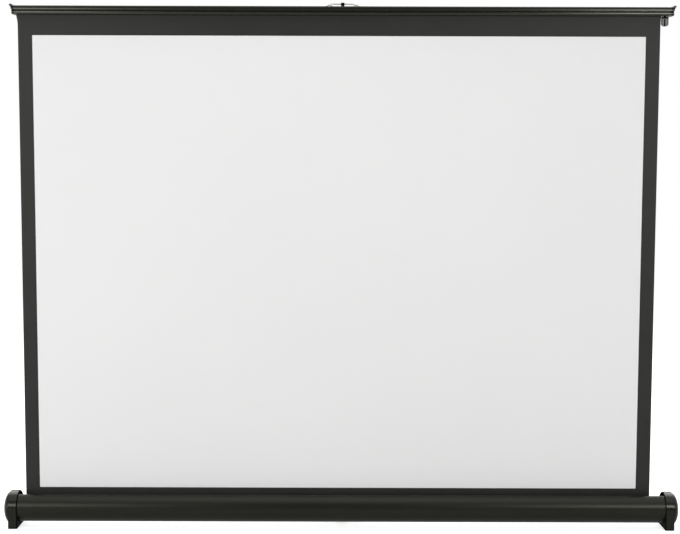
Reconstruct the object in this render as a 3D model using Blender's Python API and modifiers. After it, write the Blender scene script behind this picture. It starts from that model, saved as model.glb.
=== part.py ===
"""Tabletop projection screen: a spring roller in a round case, a bar that pulls the fabric up,
and a folding telescopic pole behind the fabric that holds the bar by its bail.

Metres, +Z up. X runs along the case, -Y faces the viewer, z = 0 is the table.
The origin is the middle of the footprint.
"""

import math

import bmesh
import bpy
from mathutils import Vector

# Shared fits
CLEARANCE = 0.0003
OVERSHOOT = 0.004
JOIN_DEPTH = 0.0008
WELD_DISTANCE = 0.00001
FRAME_SIZE = 0.02

# Viewing panel and fabric
VIEW_WIDTH = 1.016
VIEW_HEIGHT = 0.762
SIDE_BORDER = 0.0237
TOP_BORDER = 0.0327
BOTTOM_BORDER = 0.0090
FABRIC_THICKNESS = 0.0004
FABRIC_SHIFT = -0.006
WRAP_THICKNESS = 0.0008

# Case tube
AXIS_HEIGHT = 0.0335
TUBE_RADIUS = 0.0252
TUBE_WALL = 0.0016
MOUTH_FRONT_ANGLE = 115.0
MOUTH_REAR_ANGLE = 34.0
LIP_RADIUS = 0.0013
BOSS_RADIUS = 0.0028
BOSS_ANGLES = {"bottom": -90.0, "rear": -35.0}

# End caps, domes and pads
CASE_GAP = 0.0013
RING_RADIUS = 0.0272
RING_WIDTH = 0.015
SOCKET_DEPTH = 0.010
RECESS_RADIUS = 0.0256
RECESS_DEPTH = 0.0023
DOME_DEPTH = 0.0107
DOME_WALL = 0.002
DOME_SPIGOT_WALL = 0.001
DOME_INSET = 0.0005
PAD_HEIGHT = 0.0041
PAD_INSET = 0.0008
FOOT_REAR = 0.075
FOOT_CORNER = 0.003
TAIL_HEIGHT = 0.009
TAIL_RISE = 0.002
TAIL_LENGTH = 0.039
TAIL_ANGLE = -20.0

# Screws, with the shape that all their heads share
HEAD_TOP_SHARE = 0.7
HEAD_EDGE_SHARE = 0.4
SCREW_RADIUS = 0.0013
SCREW_LENGTH = 0.018
SCREW_HEAD_RADIUS = 0.0025
SCREW_HEAD_HEIGHT = 0.0018

# Roller and its spring
ROLLER_RADIUS = 0.010
ROLLER_WALL = 0.0008
ROLLER_DROP = 0.002
ROLLER_MARGIN = 0.0004
PLUG_LENGTH = 0.020
PLUG_FLANGE = 0.002
ARBOR_RADIUS = 0.005
ARBOR_HEX_RADIUS = 0.0046
PIN_RADIUS = 0.004
BEARING_WALL = 0.0025
BEARING_FLANGE = 0.002
BEARING_FLANGE_WIDTH = 0.001
SPRING_LENGTH = 0.288
SPRING_TURNS = 24
SPRING_WIRE = 0.0006
SPRING_POINTS_PER_TURN = 10
SPRING_PLAY = 0.0002
DRIVE_PLUG_LENGTH = 0.016

# Top bar
BAR_MARGIN = 0.0028
BAR_HEIGHT = 0.0143
FLANGE_HALF = 0.0175
BODY_HALF = 0.0130
LOWER_HALF = 0.0105
FLANGE_DROP = 0.0039
UPPER_COVE_DROP = 0.0070
LOWER_COVE_RISE = 0.0052
LOWER_EDGE = 0.0013
COVE_SHARE = 0.3
BAR_CORNER = 0.0012
ROD_RADIUS = 0.0022
ROD_HEIGHT = 0.0045
CHANNEL_PLAY = 0.0004
CHANNEL_SLOT = 0.0016
BAR_WALL = 0.0016
CHAMBER_HALF = 0.0120
CHAMBER_FLOOR = 0.0088

# Top bar ends
BAR_END_WIDTH = 0.0027
LIP_OUT = 0.0022
LIP_UP = 0.0030
LIP_THICKNESS = 0.0012
LIP_ROOT = 0.0040
SPIGOT_LENGTH = 0.008

# Closing peg
PEG_RADIUS = 0.0055
PEG_LENGTH = 0.0155
PEG_ROUND = 0.0020
PEG_GAP = 0.0010
STUD_RADIUS = 0.0020
STUD_HEIGHT = 0.0040

# Bail and its lugs
BAIL_WIRE = 0.00175
BAIL_HALF = 0.0276
BAIL_REACH = 0.0150
BAIL_RISE = 0.0049
BAIL_CORNER = 0.006
BAIL_PIN_CORNER = 0.002
BAIL_PIN_END = 0.0175
PIVOT_HEIGHT = 0.0038
PIVOT_SETBACK = 0.0130
LUG_INNER = 0.0185
LUG_OUTER = 0.0255
LUG_KNUCKLE = 0.0034
LUG_BASE = 0.0013
LUG_FRONT = 0.0100
LUG_SCREW_SETBACK = 0.0068
LUG_SCREW_RADIUS = 0.0010
LUG_SCREW_HEAD = 0.0020
LUG_SCREW_HEAD_HEIGHT = 0.0009
LUG_SCREW_LENGTH = 0.0035
LUG_HOLE_DEPTH = 0.0026

# Pole bracket and pivot
BRACKET_HALF = 0.018
BRACKET_ROOT = 0.012
BRACKET_TOP = 0.012
BRACKET_BOTTOM = 0.016
BRACKET_FLOOR = 0.004
BRACKET_PLATE = 0.003
BRACKET_SCREW_X = 0.0135
BRACKET_SCREW_RADIUS = 0.0015
BRACKET_SCREW_HEAD = 0.0030
BRACKET_SCREW_CONE = 0.0018
BRACKET_SCREW_TIP = 0.0030
BOLT_RADIUS = 0.003
BOLT_BITE = 0.005
BOLT_HEAD_RADIUS = 0.0055
BOLT_HEAD_HEIGHT = 0.0035
WASHER_RADIUS = 0.007
WASHER_THICKNESS = 0.001

# Telescopic pole
STAGE_WALL = 0.0008
LOWER_RADIUS = 0.008
MIDDLE_RADIUS = 0.0065
UPPER_RADIUS = 0.005
LOWER_LENGTH = 0.310
MIDDLE_LENGTH = 0.320
STAGE_OVERLAP = 0.050
KNUCKLE_HALF = 0.009
KNUCKLE_DEPTH = 0.0202
KNUCKLE_PLAY = 0.0004
KNUCKLE_RISE = 0.020
KNUCKLE_PLUG = 0.010
COLLAR_WALL = 0.0022
COLLAR_SKIRT = 0.014
COLLAR_CROWN = 0.012
COLLAR_CHAMFER = 0.001
GUIDE_FLANGE = 0.006
GUIDE_PLUG = 0.014

# Pole hook
HOOK_OFFSET = 0.013
HOOK_WIDTH = 0.0057
HOOK_LIP_DEPTH = 0.0024
HOOK_LIP_DROP = 0.0006
HOOK_LIP_CHAMFER = 0.0009
HOOK_BACK_PLAY = 0.00015
HOOK_BACK_DEPTH = 0.0028
HOOK_BACK_RISE = 0.0036
HOOK_FLOOR = 0.0012
HOOK_CAP_RADIUS = 0.0063
HOOK_CAP_TOP = 0.0035
HOOK_CAP_BOTTOM = 0.0120
HOOK_PLUG = 0.018

# Facets
TUBE_STEPS = 56
ROUND_SIDES = 24
SMALL_SIDES = 14
HEX_SIDES = 6
LIP_STEPS = 10
ARC_STEPS = 6
DOME_STEPS = 6
DOME_SIDES = 30
SHARP_ANGLE = 35.0

# Places worked out from the sizes above
CASE_Y = (RING_RADIUS - FOOT_REAR) / 2
FRONT_LIP_ANGLE = math.radians(MOUTH_FRONT_ANGLE)
REAR_LIP_ANGLE = math.radians(MOUTH_REAR_ANGLE)
LIP_ORBIT = TUBE_RADIUS - LIP_RADIUS
FABRIC_Y = CASE_Y + LIP_ORBIT * (math.cos(FRONT_LIP_ANGLE) + math.cos(REAR_LIP_ANGLE)) / 2
LIP_TOP = AXIS_HEIGHT + LIP_ORBIT * math.sin(FRONT_LIP_ANGLE) + LIP_RADIUS
VIEW_BOTTOM = LIP_TOP + BOTTOM_BORDER
BAR_BOTTOM = VIEW_BOTTOM + VIEW_HEIGHT + TOP_BORDER
BAR_TOP = BAR_BOTTOM + BAR_HEIGHT
FABRIC_HALF = VIEW_WIDTH / 2 + SIDE_BORDER
FABRIC_LEFT = FABRIC_SHIFT - FABRIC_HALF
FABRIC_RIGHT = FABRIC_SHIFT + FABRIC_HALF
BAR_HALF = FABRIC_HALF + abs(FABRIC_SHIFT) + BAR_MARGIN
BAR_END_INNER = BAR_HALF + CLEARANCE
BAR_END_OUTER = BAR_END_INNER + BAR_END_WIDTH
CASE_HALF = BAR_END_OUTER + LIP_OUT + CASE_GAP
TUBE_END = CASE_HALF + SOCKET_DEPTH - CLEARANCE
WEB_INNER = CASE_HALF + SOCKET_DEPTH
CAP_OUTER = CASE_HALF + RING_WIDTH
RECESS_FLOOR = CAP_OUTER - RECESS_DEPTH
BOSS_ORBIT = TUBE_RADIUS - TUBE_WALL - BOSS_RADIUS + JOIN_DEPTH
WRAP_RADIUS = ROLLER_RADIUS + CLEARANCE + WRAP_THICKNESS
ROLLER_Y = FABRIC_Y - WRAP_RADIUS - CLEARANCE - FABRIC_THICKNESS / 2
ROLLER_Z = AXIS_HEIGHT - ROLLER_DROP
ROLLER_BORE = ROLLER_RADIUS - ROLLER_WALL
ROLLER_LEFT = FABRIC_LEFT - ROLLER_MARGIN
ROLLER_RIGHT = FABRIC_RIGHT + ROLLER_MARGIN
SPRING_LEFT = ROLLER_LEFT + PLUG_LENGTH + CLEARANCE
SPRING_RIGHT = SPRING_LEFT + SPRING_LENGTH
BEARING_RADIUS = PIN_RADIUS + CLEARANCE + BEARING_WALL
PEG_X = FABRIC_RIGHT + PEG_GAP + PEG_RADIUS
BAIL_Y = FABRIC_Y + PIVOT_SETBACK
BAIL_Z = BAR_TOP + PIVOT_HEIGHT
BAIL_ANGLE = math.atan2(BAIL_RISE, BAIL_REACH)
BAIL_LEG = math.hypot(BAIL_RISE, BAIL_REACH)
HANG_Y = BAIL_Y + BAIL_REACH
HANG_Z = BAIL_Z + BAIL_RISE
POLE_Y = HANG_Y + HOOK_OFFSET
PIVOT_Z = AXIS_HEIGHT
POCKET_FRONT = POLE_Y - KNUCKLE_DEPTH / 2 - KNUCKLE_PLAY
POCKET_REAR = POLE_Y + KNUCKLE_DEPTH / 2 + KNUCKLE_PLAY
BRACKET_REAR = POCKET_REAR + BRACKET_PLATE
LOWER_BASE = PIVOT_Z + KNUCKLE_RISE + CLEARANCE
LOWER_TOP = LOWER_BASE + LOWER_LENGTH
MIDDLE_BASE = LOWER_TOP - STAGE_OVERLAP
MIDDLE_TOP = MIDDLE_BASE + MIDDLE_LENGTH
UPPER_BASE = MIDDLE_TOP - STAGE_OVERLAP
UPPER_TOP = HANG_Z - HOOK_CAP_BOTTOM - CLEARANCE

CASE_AXIS = Vector((0, CASE_Y, AXIS_HEIGHT))
ROLLER_AXIS = Vector((0, ROLLER_Y, ROLLER_Z))
POLE_AXIS = Vector((0, POLE_Y, 0))
PIVOT_POINT = Vector((0, POLE_Y, PIVOT_Z))
TURNS = {
    "+X": (0, math.pi / 2, 0),
    "-X": (0, -math.pi / 2, 0),
    "+Y": (-math.pi / 2, 0, 0),
    "+Z": (0, 0, 0),
}
PLANES = {"YZ": (math.pi / 2, 0, math.pi / 2), "XZ": (math.pi / 2, 0, 0)}


# Scene set-up
for leftover in list(bpy.data.objects):
    bpy.data.objects.remove(leftover, do_unlink=True)
parts = bpy.data.collections.new("tabletop_projection_screen")
cutters = bpy.data.collections.new("cutters")
for group in (parts, cutters):
    bpy.context.scene.collection.children.link(group)


def make_material(name, colour, roughness, metallic=0.0):
    material = bpy.data.materials.new(name)
    material.use_nodes = True
    shader = material.node_tree.nodes["Principled BSDF"]
    shader.inputs["Base Color"].default_value = (*colour, 1.0)
    shader.inputs["Roughness"].default_value = roughness
    shader.inputs["Metallic"].default_value = metallic
    return material


BLACK_METAL = make_material("black_anodised_aluminium", (0.018, 0.018, 0.018), 0.42, 0.3)
BLACK_PLASTIC = make_material("glossy_black_plastic", (0.012, 0.012, 0.013), 0.22)
BLACK_RUBBER = make_material("black_rubber", (0.02, 0.02, 0.02), 0.8)
WHITE_FABRIC = make_material("matt_white_fabric", (0.82, 0.82, 0.83), 0.9)
BLACK_FABRIC = make_material("black_fabric_back", (0.03, 0.03, 0.03), 0.9)
BRIGHT_STEEL = make_material("chromed_steel", (0.75, 0.75, 0.76), 0.18, 1.0)
PLAIN_STEEL = make_material("zinc_plated_steel", (0.55, 0.55, 0.56), 0.35, 1.0)
SPRING_STEEL = make_material("spring_steel", (0.28, 0.28, 0.29), 0.4, 1.0)
WHITE_NYLON = make_material("natural_nylon", (0.72, 0.71, 0.66), 0.5)


def adopt(obj, name, material):
    """Names an object and files it: with a material it is a part, without one it is a cutter."""
    obj.name = name
    for collection in list(obj.users_collection):
        collection.objects.unlink(obj)
    if material is None:
        cutters.objects.link(obj)
        obj.hide_render = True
        obj.display_type = "WIRE"
        return obj
    parts.objects.link(obj)
    obj.data.materials.clear()
    obj.data.materials.append(material)
    obj.data.shade_smooth()
    obj.data.set_sharp_from_angle(angle=math.radians(SHARP_ANGLE))
    return obj


def box(name, material, low, high):
    low = Vector(low)
    high = Vector(high)
    bpy.ops.mesh.primitive_cube_add(size=1, location=(low + high) / 2)
    obj = bpy.context.object
    for vertex in obj.data.vertices:
        vertex.co *= high - low
    return adopt(obj, name, material)


def cylinder(name, material, direction, base, radius, length, sides=ROUND_SIDES):
    """A round bar that starts at its base point and runs along the direction."""
    turn = TURNS[direction]
    bpy.ops.mesh.primitive_cylinder_add(vertices=sides, radius=radius, depth=length, rotation=turn)
    obj = bpy.context.object
    for vertex in obj.data.vertices:
        vertex.co.z += length / 2
    obj.location = base
    return adopt(obj, name, material)


def turned(name, material, direction, base, profile, closed=False, sides=ROUND_SIDES):
    """A profile of (radius, height) points spun about the direction through the base point."""
    mesh = bpy.data.meshes.new(name)
    edges = [(i, i + 1) for i in range(len(profile) - 1)]
    if closed:
        edges.append((len(profile) - 1, 0))
    mesh.from_pydata([(radius, 0, height) for radius, height in profile], edges, [])
    obj = bpy.data.objects.new(name, mesh)
    obj.location = base
    obj.rotation_euler = TURNS[direction]
    bpy.context.scene.collection.objects.link(obj)
    screw = obj.modifiers.new("spin", "SCREW")
    screw.steps = sides
    screw.render_steps = sides
    screw.use_merge_vertices = True
    screw.merge_threshold = WELD_DISTANCE
    screw.use_smooth_shade = True
    return adopt(to_mesh(obj), name, material)


def extruded(name, material, plane, base, loops, start, end):
    """Flat outlines in a plane through the base point, carried from start to end along its normal."""
    curve = bpy.data.curves.new(name, "CURVE")
    curve.dimensions = "2D"
    curve.fill_mode = "BOTH"
    curve.extrude = abs(end - start) / 2
    for loop in loops:
        spline = curve.splines.new("POLY")
        spline.points.add(len(loop) - 1)
        for point, (across, up) in zip(spline.points, loop):
            point.co = (across, up, 0, 1)
        spline.use_cyclic_u = True
    obj = bpy.data.objects.new(name, curve)
    middle = (start + end) / 2
    along = Vector((middle, 0, 0)) if plane == "YZ" else Vector((0, middle, 0))
    obj.location = Vector(base) + along
    obj.rotation_euler = PLANES[plane]
    bpy.context.scene.collection.objects.link(obj)
    return adopt(to_mesh(obj), name, material)


def wire(name, material, points, radius, resolution):
    curve = bpy.data.curves.new(name, "CURVE")
    curve.dimensions = "3D"
    curve.bevel_depth = radius
    curve.bevel_resolution = resolution
    curve.use_fill_caps = True
    spline = curve.splines.new("POLY")
    spline.points.add(len(points) - 1)
    for point, place in zip(spline.points, points):
        point.co = (*place, 1)
    obj = bpy.data.objects.new(name, curve)
    bpy.context.scene.collection.objects.link(obj)
    return adopt(to_mesh(obj), name, material)


def to_mesh(obj):
    """The evaluated object as a welded mesh in the same place."""
    bpy.context.view_layer.update()
    graph = bpy.context.evaluated_depsgraph_get()
    mesh = bpy.data.meshes.new_from_object(obj.evaluated_get(graph))
    welded = bmesh.new()
    welded.from_mesh(mesh)
    bmesh.ops.remove_doubles(welded, verts=welded.verts, dist=WELD_DISTANCE)
    welded.to_mesh(mesh)
    welded.free()
    solid = bpy.data.objects.new(obj.name, mesh)
    solid.matrix_world = obj.matrix_world
    bpy.context.scene.collection.objects.link(solid)
    bpy.data.objects.remove(obj, do_unlink=True)
    return solid


def combine(target, tool, operation):
    """A Boolean on the target, with its tool carried along by the target."""
    bpy.context.view_layer.update()
    tool.parent = target
    tool.matrix_parent_inverse = target.matrix_world.inverted()
    modifier = target.modifiers.new(tool.name, "BOOLEAN")
    modifier.operation = operation
    modifier.solver = "EXACT"
    modifier.object = tool
    return target


def cut(target, tool):
    return combine(target, tool, "DIFFERENCE")


def join(target, tool):
    return combine(target, tool, "UNION")


def frame(name, place, parent=None):
    """An empty on a joint's axis, which carries the pieces of one moving body."""
    empty = bpy.data.objects.new(name, None)
    empty.empty_display_size = FRAME_SIZE
    parts.objects.link(empty)
    empty.location = place
    if parent is not None:
        carry(parent, empty)
    return empty


def carry(carrier, *pieces):
    bpy.context.view_layer.update()
    for piece in pieces:
        piece.parent = carrier
        piece.matrix_parent_inverse = carrier.matrix_world.inverted()


def arc(centre, radius, first, last, steps):
    """Points on an arc between two angles in degrees."""
    angles = [math.radians(first + (last - first) * i / steps) for i in range(steps + 1)]
    return [(centre[0] + radius * math.cos(a), centre[1] + radius * math.sin(a)) for a in angles]


def circle(radius):
    """A closed ring of points about the outline's own origin."""
    return arc((0, 0), radius, 0, 360, ROUND_SIDES)[:-1]


def sweep(first, control, last, steps):
    """Points on a quadratic curve, its end points included."""
    shares = [i / steps for i in range(steps + 1)]
    weights = [((1 - s) ** 2, 2 * s * (1 - s), s**2) for s in shares]
    return [
        tuple(a * first[k] + b * control[k] + c * last[k] for k in range(2)) for a, b, c in weights
    ]


def ring_profile(outer, inner, low, high):
    return [(outer, high), (outer, low), (inner, low), (inner, high)]


def screw_profile(radius, length, head_radius, head_height):
    """A round-headed screw whose head seats at height 0."""
    return [
        (0, head_height),
        (head_radius * HEAD_TOP_SHARE, head_height),
        (head_radius, head_height * HEAD_EDGE_SHARE),
        (head_radius, 0),
        (radius, 0),
        (radius, -length),
        (0, -length),
    ]


def side_direction(side):
    return "+X" if side > 0 else "-X"


def on_circle(radius, degrees):
    angle = math.radians(degrees)
    return Vector((0, radius * math.cos(angle), radius * math.sin(angle)))


SIDES = {"left": -1, "right": 1}


# Case tube
def lip_points(angle, turn):
    """The rolled edge of the mouth, from the outside of the wall round to its inside."""
    middle = on_circle(LIP_ORBIT, angle)
    rolled = 360 - math.degrees(math.acos((LIP_RADIUS - TUBE_WALL) / LIP_RADIUS))
    return arc(middle.yz, LIP_RADIUS, angle, angle + turn * rolled, LIP_STEPS)


def build_case_tube():
    far_front = MOUTH_FRONT_ANGLE - 360
    bore = TUBE_RADIUS - TUBE_WALL
    margin = math.degrees(math.sqrt(LIP_RADIUS**2 - (LIP_RADIUS - TUBE_WALL) ** 2) / bore)
    outer = arc((0, 0), TUBE_RADIUS, MOUTH_REAR_ANGLE, far_front, TUBE_STEPS)
    inner = arc((0, 0), bore, far_front + margin, MOUTH_REAR_ANGLE - margin, TUBE_STEPS)
    front_lip = lip_points(MOUTH_FRONT_ANGLE, -1)
    rear_lip = lip_points(MOUTH_REAR_ANGLE, 1)
    outline = outer[1:-1] + front_lip + inner[1:-1] + rear_lip[::-1]
    tube = extruded("case_tube", BLACK_METAL, "YZ", CASE_AXIS, [outline], -TUBE_END, TUBE_END)
    for place, angle in BOSS_ANGLES.items():
        centre = CASE_AXIS + on_circle(BOSS_ORBIT, angle)
        start = centre - Vector((TUBE_END - JOIN_DEPTH, 0, 0))
        length = 2 * (TUBE_END - JOIN_DEPTH)
        join(tube, cylinder(f"boss_{place}", None, "+X", start, BOSS_RADIUS, length, SMALL_SIDES))
        for name, side in SIDES.items():
            mouth = centre + Vector((side * (TUBE_END + OVERSHOOT), 0, 0))
            depth = SCREW_LENGTH + 2 * OVERSHOOT
            hole = cylinder(
                f"boss_hole_{place}_{name}",
                None,
                side_direction(-side),
                mouth,
                SCREW_RADIUS + CLEARANCE,
                depth,
                SMALL_SIDES,
            )
            cut(tube, hole)
    for name, side in SIDES.items():
        start = Vector((side * BRACKET_SCREW_X, CASE_Y + BRACKET_ROOT, AXIS_HEIGHT))
        radius = BRACKET_SCREW_RADIUS + CLEARANCE
        cut(tube, cylinder(f"tube_hole_{name}", None, "+Y", start, radius, TUBE_RADIUS, SMALL_SIDES))
    return tube


# End caps: a cup over the tube's end, with the foot in one piece
def cap_outline():
    floor = PAD_HEIGHT + CLEARANCE - AXIS_HEIGHT
    corner = FOOT_CORNER
    tail_top = floor + TAIL_HEIGHT
    root = on_circle(RING_RADIUS, TAIL_ANGLE).yz
    bend = (FOOT_REAR - TAIL_LENGTH, tail_top + TAIL_RISE)
    ring = arc((0, 0), RING_RADIUS, TAIL_ANGLE, 180, TUBE_STEPS // 2)
    front = arc((corner - RING_RADIUS, floor + corner), corner, 180, 270, ARC_STEPS)
    rear = arc((FOOT_REAR - corner, floor + corner), corner, 270, 360, ARC_STEPS)
    top = arc((FOOT_REAR - corner, tail_top - corner), corner, 0, 90, ARC_STEPS)
    cove = sweep(bend, (root.x + corner, bend[1] + corner / 2), tuple(root), ARC_STEPS)
    return ring + front + rear + top + cove[:-1]


def build_end(name, side):
    out = side_direction(side)
    back = side_direction(-side)

    def beside(x, place=CASE_AXIS):
        return Vector((side * x, place.y, place.z))

    cap = extruded(
        f"end_cap_{name}",
        BLACK_PLASTIC,
        "YZ",
        CASE_AXIS,
        [cap_outline()],
        side * CASE_HALF,
        side * CAP_OUTER,
    )
    socket = cylinder(
        f"socket_{name}",
        None,
        out,
        beside(CASE_HALF - OVERSHOOT),
        TUBE_RADIUS + CLEARANCE,
        SOCKET_DEPTH + OVERSHOOT,
        2 * ROUND_SIDES,
    )
    cut(cap, socket)
    recess = cylinder(
        f"recess_{name}",
        None,
        back,
        beside(CAP_OUTER + OVERSHOOT),
        RECESS_RADIUS + CLEARANCE,
        RECESS_DEPTH + OVERSHOOT,
        DOME_SIDES,
    )
    cut(cap, recess)
    web = RECESS_FLOOR - WEB_INNER
    hub = beside(WEB_INNER - OVERSHOOT, ROLLER_AXIS)
    if side > 0:
        hub_radius, hub_sides = BEARING_RADIUS + CLEARANCE, ROUND_SIDES
    else:
        hub_radius, hub_sides = ARBOR_HEX_RADIUS + CLEARANCE, HEX_SIDES
    cut(cap, cylinder(f"hub_hole_{name}", None, out, hub, hub_radius, web + 2 * OVERSHOOT, hub_sides))
    profile = screw_profile(SCREW_RADIUS, SCREW_LENGTH, SCREW_HEAD_RADIUS, SCREW_HEAD_HEIGHT)
    for place, angle in BOSS_ANGLES.items():
        centre = CASE_AXIS + on_circle(BOSS_ORBIT, angle)
        start = beside(WEB_INNER - OVERSHOOT, centre)
        radius = SCREW_RADIUS + CLEARANCE
        length = web + 2 * OVERSHOOT
        cut(cap, cylinder(f"cap_hole_{place}_{name}", None, out, start, radius, length, SMALL_SIDES))
        seat = beside(RECESS_FLOOR + CLEARANCE, centre)
        turned(f"cap_screw_{name}_{place}", PLAIN_STEEL, out, seat, profile, sides=SMALL_SIDES)
    build_dome(name, out, beside(CAP_OUTER + CLEARANCE))
    inner = side * (CASE_HALF + PAD_INSET)
    outer = side * (CAP_OUTER - PAD_INSET)
    box(
        f"foot_pad_{name}",
        BLACK_RUBBER,
        (min(inner, outer), CASE_Y - RING_RADIUS + PAD_INSET, 0),
        (max(inner, outer), CASE_Y + FOOT_REAR - PAD_INSET, PAD_HEIGHT),
    )


def build_dome(name, out, base):
    """The domed cover that snaps into the cap's recess and hides the cap's screws."""
    rim = RING_RADIUS - DOME_INSET
    spigot = RECESS_RADIUS
    bore = RECESS_RADIUS - DOME_SPIGOT_WALL
    depth = RECESS_DEPTH - CLEARANCE
    outer = [(rim * r, DOME_DEPTH * h) for r, h in arc((0, 0), 1, 90, 0, DOME_STEPS)]
    inner = [(bore * r, (DOME_DEPTH - DOME_WALL) * h) for r, h in arc((0, 0), 1, 0, 90, DOME_STEPS)]
    neck = [(spigot, 0), (spigot, -depth), (bore, -depth)]
    profile = [(0, DOME_DEPTH)] + outer[1:] + neck + inner[:-1] + [(0, DOME_DEPTH - DOME_WALL)]
    turned(f"dome_cover_{name}", BLACK_PLASTIC, out, base, profile, sides=DOME_SIDES)


# Spring roller
def build_roller():
    axis = frame("roller_axis", ROLLER_AXIS)
    left = Vector((ROLLER_LEFT, ROLLER_Y, ROLLER_Z))
    right = Vector((ROLLER_RIGHT, ROLLER_Y, ROLLER_Z))
    length = ROLLER_RIGHT - ROLLER_LEFT
    profile = ring_profile(ROLLER_RADIUS, ROLLER_BORE, 0, length)
    tube = turned("roller_tube", PLAIN_STEEL, "+X", left, profile, closed=True)
    body = ROLLER_BORE - CLEARANCE
    bore = ARBOR_RADIUS + CLEARANCE
    flange_top = CLEARANCE + PLUG_FLANGE
    left_profile = [
        (ROLLER_RADIUS, flange_top),
        (ROLLER_RADIUS, CLEARANCE),
        (body, CLEARANCE),
        (body, -PLUG_LENGTH),
        (bore, -PLUG_LENGTH),
        (bore, flange_top),
    ]
    left_plug = turned("roller_plug_left", WHITE_NYLON, "-X", left, left_profile, closed=True)
    pin_end = RECESS_FLOOR - CLEARANCE - ROLLER_RIGHT
    right_profile = [
        (0, pin_end),
        (PIN_RADIUS, pin_end),
        (PIN_RADIUS, 0),
        (body, 0),
        (body, -PLUG_LENGTH),
        (0, -PLUG_LENGTH),
    ]
    right_plug = turned("roller_plug_right", WHITE_NYLON, "+X", right, right_profile)
    seat = Vector((SPRING_RIGHT + CLEARANCE, ROLLER_Y, ROLLER_Z))
    drive_profile = ring_profile(body, bore, 0, DRIVE_PLUG_LENGTH)
    drive = turned("spring_drive_plug", WHITE_NYLON, "+X", seat, drive_profile, closed=True)
    wrap_base = Vector((FABRIC_LEFT, ROLLER_Y, ROLLER_Z))
    wrap_profile = ring_profile(WRAP_RADIUS, ROLLER_RADIUS + CLEARANCE, 0, 2 * FABRIC_HALF)
    wrap = turned("fabric_wrap", BLACK_FABRIC, "+X", wrap_base, wrap_profile, closed=True)
    carry(axis, tube, left_plug, right_plug, drive, wrap, build_spring())


def build_spring():
    """The torsion spring as one unbroken helix around the arbor."""
    coil = ARBOR_RADIUS + CLEARANCE + SPRING_WIRE + SPRING_PLAY
    first = SPRING_LEFT + SPRING_WIRE
    run = SPRING_LENGTH - 2 * SPRING_WIRE
    steps = SPRING_TURNS * SPRING_POINTS_PER_TURN
    points = []
    for i in range(steps + 1):
        turn = 2 * math.pi * i / SPRING_POINTS_PER_TURN
        across = ROLLER_Y + coil * math.cos(turn)
        up = ROLLER_Z + coil * math.sin(turn)
        points.append((first + run * i / steps, across, up))
    print("spring gap between turns, mm:", round(1000 * (run / SPRING_TURNS - 2 * SPRING_WIRE), 2))
    return wire("torsion_spring", SPRING_STEEL, points, SPRING_WIRE, 0)


def build_roller_seats():
    """What the roller turns on: the fixed arbor in the left cap and the bush in the right one."""
    start = Vector((CLEARANCE - WEB_INNER, ROLLER_Y, ROLLER_Z))
    end = SPRING_RIGHT + CLEARANCE + DRIVE_PLUG_LENGTH
    arbor = cylinder("spring_arbor", PLAIN_STEEL, "+X", start, ARBOR_RADIUS, end - start.x)
    hex_start = Vector((CLEARANCE - RECESS_FLOOR, ROLLER_Y, ROLLER_Z))
    hex_length = RECESS_FLOOR - WEB_INNER + OVERSHOOT
    join(arbor, cylinder("arbor_hex", None, "+X", hex_start, ARBOR_HEX_RADIUS, hex_length, HEX_SIDES))
    bore = PIN_RADIUS + CLEARANCE
    web = RECESS_FLOOR - WEB_INNER
    profile = [
        (BEARING_RADIUS, web - CLEARANCE),
        (BEARING_RADIUS, -CLEARANCE),
        (BEARING_RADIUS + BEARING_FLANGE, -CLEARANCE),
        (BEARING_RADIUS + BEARING_FLANGE, -CLEARANCE - BEARING_FLANGE_WIDTH),
        (bore, -CLEARANCE - BEARING_FLANGE_WIDTH),
        (bore, web - CLEARANCE),
    ]
    base = Vector((WEB_INNER, ROLLER_Y, ROLLER_Z))
    turned("roller_bearing", WHITE_NYLON, "+X", base, profile, closed=True)


def build_fabric():
    box(
        "screen_fabric",
        WHITE_FABRIC,
        (FABRIC_LEFT, FABRIC_Y - FABRIC_THICKNESS / 2, ROLLER_Z),
        (
            FABRIC_RIGHT,
            FABRIC_Y + FABRIC_THICKNESS / 2,
            BAR_BOTTOM + ROD_HEIGHT - ROD_RADIUS - CLEARANCE,
        ),
    )


# Top bar
def bar_side():
    """The stepped flank of the bar from its underside to its top, on the +Y half."""
    upper_root = BAR_HEIGHT - UPPER_COVE_DROP
    flange = BAR_HEIGHT - FLANGE_DROP
    lower_control = (LOWER_HALF + (BODY_HALF - LOWER_HALF) * COVE_SHARE, LOWER_COVE_RISE)
    upper_control = (BODY_HALF + (FLANGE_HALF - BODY_HALF) * COVE_SHARE, flange)
    corner = (FLANGE_HALF - BAR_CORNER, BAR_HEIGHT - BAR_CORNER)
    return (
        [(LOWER_HALF, 0)]
        + sweep((LOWER_HALF, LOWER_EDGE), lower_control, (BODY_HALF, LOWER_COVE_RISE), ARC_STEPS)
        + sweep((BODY_HALF, upper_root), upper_control, (FLANGE_HALF, flange), ARC_STEPS)
        + arc(corner, BAR_CORNER, 0, 90, ARC_STEPS)
    )


def mirrored(half):
    return [(-across, up) for across, up in reversed(half)]


def bar_outline():
    side = bar_side()
    slot = CHANNEL_SLOT / 2
    radius = ROD_RADIUS + CHANNEL_PLAY
    open_angle = math.degrees(math.asin(slot / radius))
    channel = arc((0, ROD_HEIGHT), radius, 270 - open_angle, -90 + open_angle, 3 * ARC_STEPS)
    return side + mirrored(side) + [(-slot, 0)] + channel + [(slot, 0)]


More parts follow.
